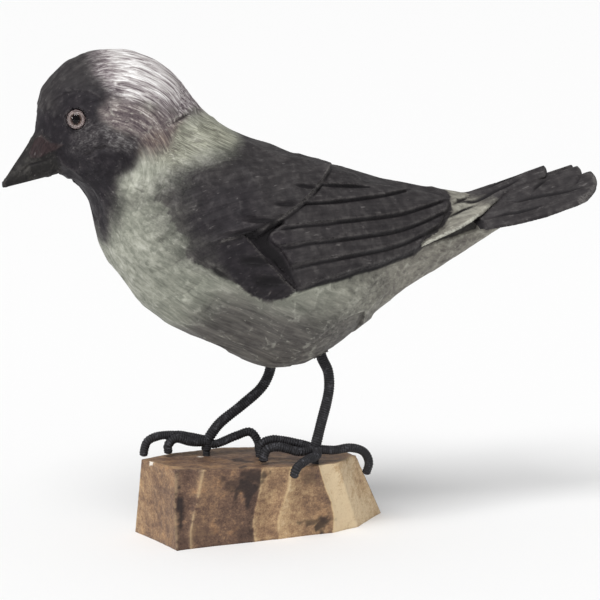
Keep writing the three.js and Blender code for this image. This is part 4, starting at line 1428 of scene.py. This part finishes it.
def wear_and_painted_shade(g, colour, covered, comb, cut, edge):
    """Wood and pale ground rubbed bare on ridges, feather edges and scratches; painted shade in hollows and
    cuts.
    """
    bend = g.layer("bend")
    patches = g.range(g.blotch, 0.44, 0.6)
    ridge = g.times(g.range(g.sum((bend, 6.0), (g.grain, 0.5)), 0.5, 0.95), patches)
    ridge = g.times(ridge, g.sum((covered, -0.16), (0.28, 1.0)))
    rim = g.times(g.range(edge, 0.6, 1), g.range(g.grain, 0.36, 0.6))
    dash = g.noise(g.scaled(comb, (0.22, 1, 1)), 1.1, 2, 0.5, 0.6)
    scratch = g.times(g.range(dash, 0.64, 0.72), g.range(g.blotch, 0.44, 0.56))
    colour = g.mix(ridge, colour, g.mix(covered, rgb(196, 196, 184), rgb(112, 108, 106)))
    colour = g.mix(rim, colour, g.mix(covered, rgb(204, 204, 192), rgb(118, 114, 111)), 0.5)
    colour = g.mix(scratch, colour, g.mix(covered, rgb(196, 195, 182), rgb(122, 118, 117)), 0.4)
    # Painted shade in the hollows of the carving.
    colour = g.mix(g.range(bend, -0.03, -0.22), colour, rgb(38, 34, 36), 0.4)
    # Painted shadow in cuts, grooves and recesses.
    return g.mix(g.range(cut, 0.45, 0.9, 0, 0.95), colour, rgb(17, 14, 17))


def painted_wood():
    """Matt paint brushed over carved wood, with painted shade in cuts and hollows and painted highlights on
    the crown and breast.
    """
    g = Graph("painted_wood")
    place = g.place()
    comb = g.layer("comb", "Vector")
    dark, hood, tan, belly = g.parts("paint")
    ear, cheek, hatch, pale_and_highlight = g.parts("more")
    cut, edge, bill, bristle = g.parts("shade_and_wear")
    g.cloud = g.noise(place, 0.07, 4, 0.6)
    g.blotch = g.noise(place, 0.28, 4, 0.6)
    g.grain = g.noise(place, 1.1, 4, 0.65)
    g.fine = g.noise(g.scaled(comb, (0.08, 1, 1)), 1.6, 3, 0.65, 0.3)
    brush = g.noise(g.scaled(comb, (0.12, 1, 1)), 0.5, 4, 0.62, 0.4)
    hair = g.noise(g.scaled(comb, (0.05, 1, 1)), 0.85, 4, 0.66, 0.6)
    g.streak = g.sum((hair, 0.7), (g.fine, 0.3))
    tone = g.sum((brush, 0.45), (g.cloud, 0.3), (g.blotch, 0.12), (g.fine, 0.13))
    night = g.sum((brush, 0.3), (g.cloud, 0.3), (g.blotch, 0.4))
    ragged = g.sum((dark, 1.0), (g.streak, 0.45), (g.grain, 0.4), (-0.425, 1.0))
    covered = g.range(ragged, 0.05, 0.95)
    colour = body_paint(g, tone, place, (hood, belly, hatch, pale_and_highlight))
    colour = crown_paint(g, colour, (hood, tan, ear, pale_and_highlight))
    colour = g.mix(covered, colour, dark_paint(g, night, (belly, cheek)))
    colour = bill_paint(g, colour, night, bill, bristle)
    colour = wear_and_painted_shade(g, colour, covered, comb, cut, edge)
    height = g.sum((brush, 0.8), (g.grain, 0.35), (g.times(g.fine, hood), 1.2))
    shine = g.range(brush, 0.3, 0.7, 0.72, 0.55)
    return g.finish(colour, shine, Normal=g.bump(height, 0.35, 0.7), Specular_IOR_Level=0.22)


def eye_glass():
    g = Graph("eye_glass")
    smear = g.range(g.noise(g.place(), 0.8, 2), 0.3, 0.7, 0.01, 0.03)
    return g.finish(rgb(250, 250, 250), smear, Transmission_Weight=1.0, IOR=1.3, Specular_IOR_Level=0.25)


def eye_iris():
    """A pale ring round a near-black pupil, by distance from the eye's axis, with patches of painted shade on
    the ring.
    """
    g = Graph("eye_iris")
    ring = g.layer("ring")
    place = g.place()
    ragged = g.math("DIVIDE", g.sum((ring, 1.0), (g.noise(place, 2.2, 3), 0.7)), 4.6)
    colour = g.ramp(ragged, (0.28, 4, 2, 3), (0.38, 18, 8, 11), (0.46, 60, 44, 38), (0.52, 104, 88, 82),
                    (0.62, 166, 153, 149), (0.78, 136, 121, 119), (0.9, 26, 19, 22))
    # Painted shade: darker patches on the pale ring, standing for the dome's shadow on it.
    worn_and_shaded = g.times(g.range(g.noise(place, 0.3, 2), 0.4, 0.65, 0, 0.45), g.range(ring, 1.7, 2.3))
    return g.finish(g.mix(worn_and_shaded, colour, rgb(70, 56, 56)), 0.6, Specular_IOR_Level=0.0)


def cord():
    g = Graph("wound_cord")
    place = g.place()
    fibre = g.noise(g.scaled(g.layer("comb", "Vector"), (0.0, 6.0, 2.0)), 3.0, 4, 0.7)
    fuzz = g.noise(place, 1.8, 4, 0.7)
    # Painted shade between the turns of cord, lighter on their crowns.
    tone = g.sum((g.layer("groove"), 0.7), (fuzz, 0.6), (-0.15, 1.0))
    colour = g.ramp(tone, (0.1, 8, 8, 9), (0.55, 26, 25, 28), (0.95, 50, 49, 53))
    # Pale bluish-grey patches over the black cord.
    bluish_grey_patches = g.range(g.times(fuzz, g.noise(place, 0.35, 4)), 0.27, 0.4)
    colour = g.mix(bluish_grey_patches, colour, rgb(104, 104, 110), 0.55)
    bump = g.bump(g.sum((fibre, 0.5), (fuzz, 0.8)), 0.25, 0.8)
    return g.finish(colour, 0.7, Normal=bump, Specular_IOR_Level=0.35)


def stained_wood():
    """Brown stain of another depth on each cut, partly painted shade of the cut, rubbed off the edges and
    blotted dark.
    """
    g = Graph("stained_wood")
    place = g.place()
    cloud = g.noise(place, 0.05, 4, 0.6)
    blotch = g.noise(place, 0.2, 4, 0.6)
    grain = g.noise(g.scaled(place, (0.6, 1.0, 1.2)), 0.5, 5, 0.7)
    speck = g.noise(place, 1.3, 3, 0.7, 0.5)
    # Each cut's tone is partly stain and partly painted shade.
    tone = g.sum((g.layer("facet"), 0.62), (cloud, 0.4), (blotch, 0.4), (grain, 0.35), (speck, 0.5),
                 (-0.71, 1.0))
    colour = g.ramp(tone, (0.16, 66, 48, 40), (0.34, 104, 80, 66), (0.5, 146, 116, 88), (0.68, 190, 160, 122),
                    (0.86, 222, 200, 164))
    warm = g.times(g.range(blotch, 0.52, 0.68), g.range(cloud, 0.5, 0.6))
    # Real wear: the stain rubbed off along the edges.
    worn_and_shaded = g.times(g.layer("rim"), g.range(blotch, 0.38, 0.52))
    deep = g.range(g.sum((g.layer("stain"), 1.0), (speck, 0.5), (-0.25, 1.0)), 0.1, 0.95)
    colour = g.mix(warm, colour, rgb(170, 108, 58), 0.14)
    colour = g.mix(worn_and_shaded, colour, rgb(214, 188, 146), 0.55)
    colour = g.mix(deep, colour, rgb(34, 25, 25), 0.88)
    # A pale paint drop, and the painted highlight on the glue by the far foot.
    colour = g.mix(g.range(g.layer("fleck"), 0.3, 0.7), colour, rgb(226, 218, 206))
    bump = g.bump(g.sum((grain, 0.5), (speck, 0.9)), 0.4, 0.7)
    return g.finish(colour, g.range(grain, 0.3, 0.7, 0.6, 0.48), Normal=bump, Specular_IOR_Level=0.35)


def pale_floor():
    return Graph("pale_floor").finish(rgb(246, 246, 246), 0.9)


# Stage

CAMERA_TARGET = (-2.2, -13, 102)
CAMERA_AZIMUTH = math.radians(-18)
CAMERA_ELEVATION = math.radians(8)
CAMERA_DISTANCE = 1000
VIEW_WIDTH = 0.42 * 600
FLOOR_HALF = 40
SKY = 0.45
LAMPS = [("key", 2.35, 35, (-0.45, -0.6, 1.0)), ("side", 0.5, 14, (-1.0, -0.35, 0.3))]


def add_camera():
    data = bpy.data.cameras.new("camera")
    data.sensor_width = 36
    data.lens = 36 * CAMERA_DISTANCE / VIEW_WIDTH
    camera = linked("camera", data)
    ce = math.cos(CAMERA_ELEVATION)
    back = Vector((math.sin(CAMERA_AZIMUTH) * ce, -math.cos(CAMERA_AZIMUTH) * ce, math.sin(CAMERA_ELEVATION)))
    camera.location = Vector(at_metres(CAMERA_TARGET)) + back * CAMERA_DISTANCE * MM
    camera.rotation_euler = (-back).to_track_quat("-Z", "Y").to_euler()
    bpy.context.scene.camera = camera


def add_stage():
    mesh = bpy.data.meshes.new("floor")
    corners = [(x * FLOOR_HALF, y * FLOOR_HALF, 0) for x, y in ((-1, -1), (1, -1), (1, 1), (-1, 1))]
    mesh.from_pydata(corners, [], [(0, 1, 2, 3)])
    floor = linked("floor", mesh)
    mesh.materials.append(pale_floor())
    world = bpy.data.worlds.new("studio")
    world.use_nodes = True
    sky = world.node_tree.nodes["Background"].inputs
    sky[0].default_value = (1, 1, 1, 1)
    sky[1].default_value = SKY
    bpy.context.scene.world = world
    for name, power, softness, way in LAMPS:
        data = bpy.data.lights.new(name, "SUN")
        data.energy = power
        data.angle = math.radians(softness)
        linked(name, data).rotation_euler = Vector(way).to_track_quat("Z", "Y").to_euler()


def dress(obj, material):
    obj.data.materials.append(material)


bird = make_bird()
dress(bird, painted_wood())
glass_material = eye_glass()
iris_material = eye_iris()
for glass, iris in make_eyes():
    dress(glass, glass_material)
    dress(iris, iris_material)
cord_material = cord()
for leg in make_legs():
    dress(leg, cord_material)
dress(make_block(), stained_wood())
add_camera()
add_stage()
bpy.context.scene.view_settings.view_transform = "Standard"
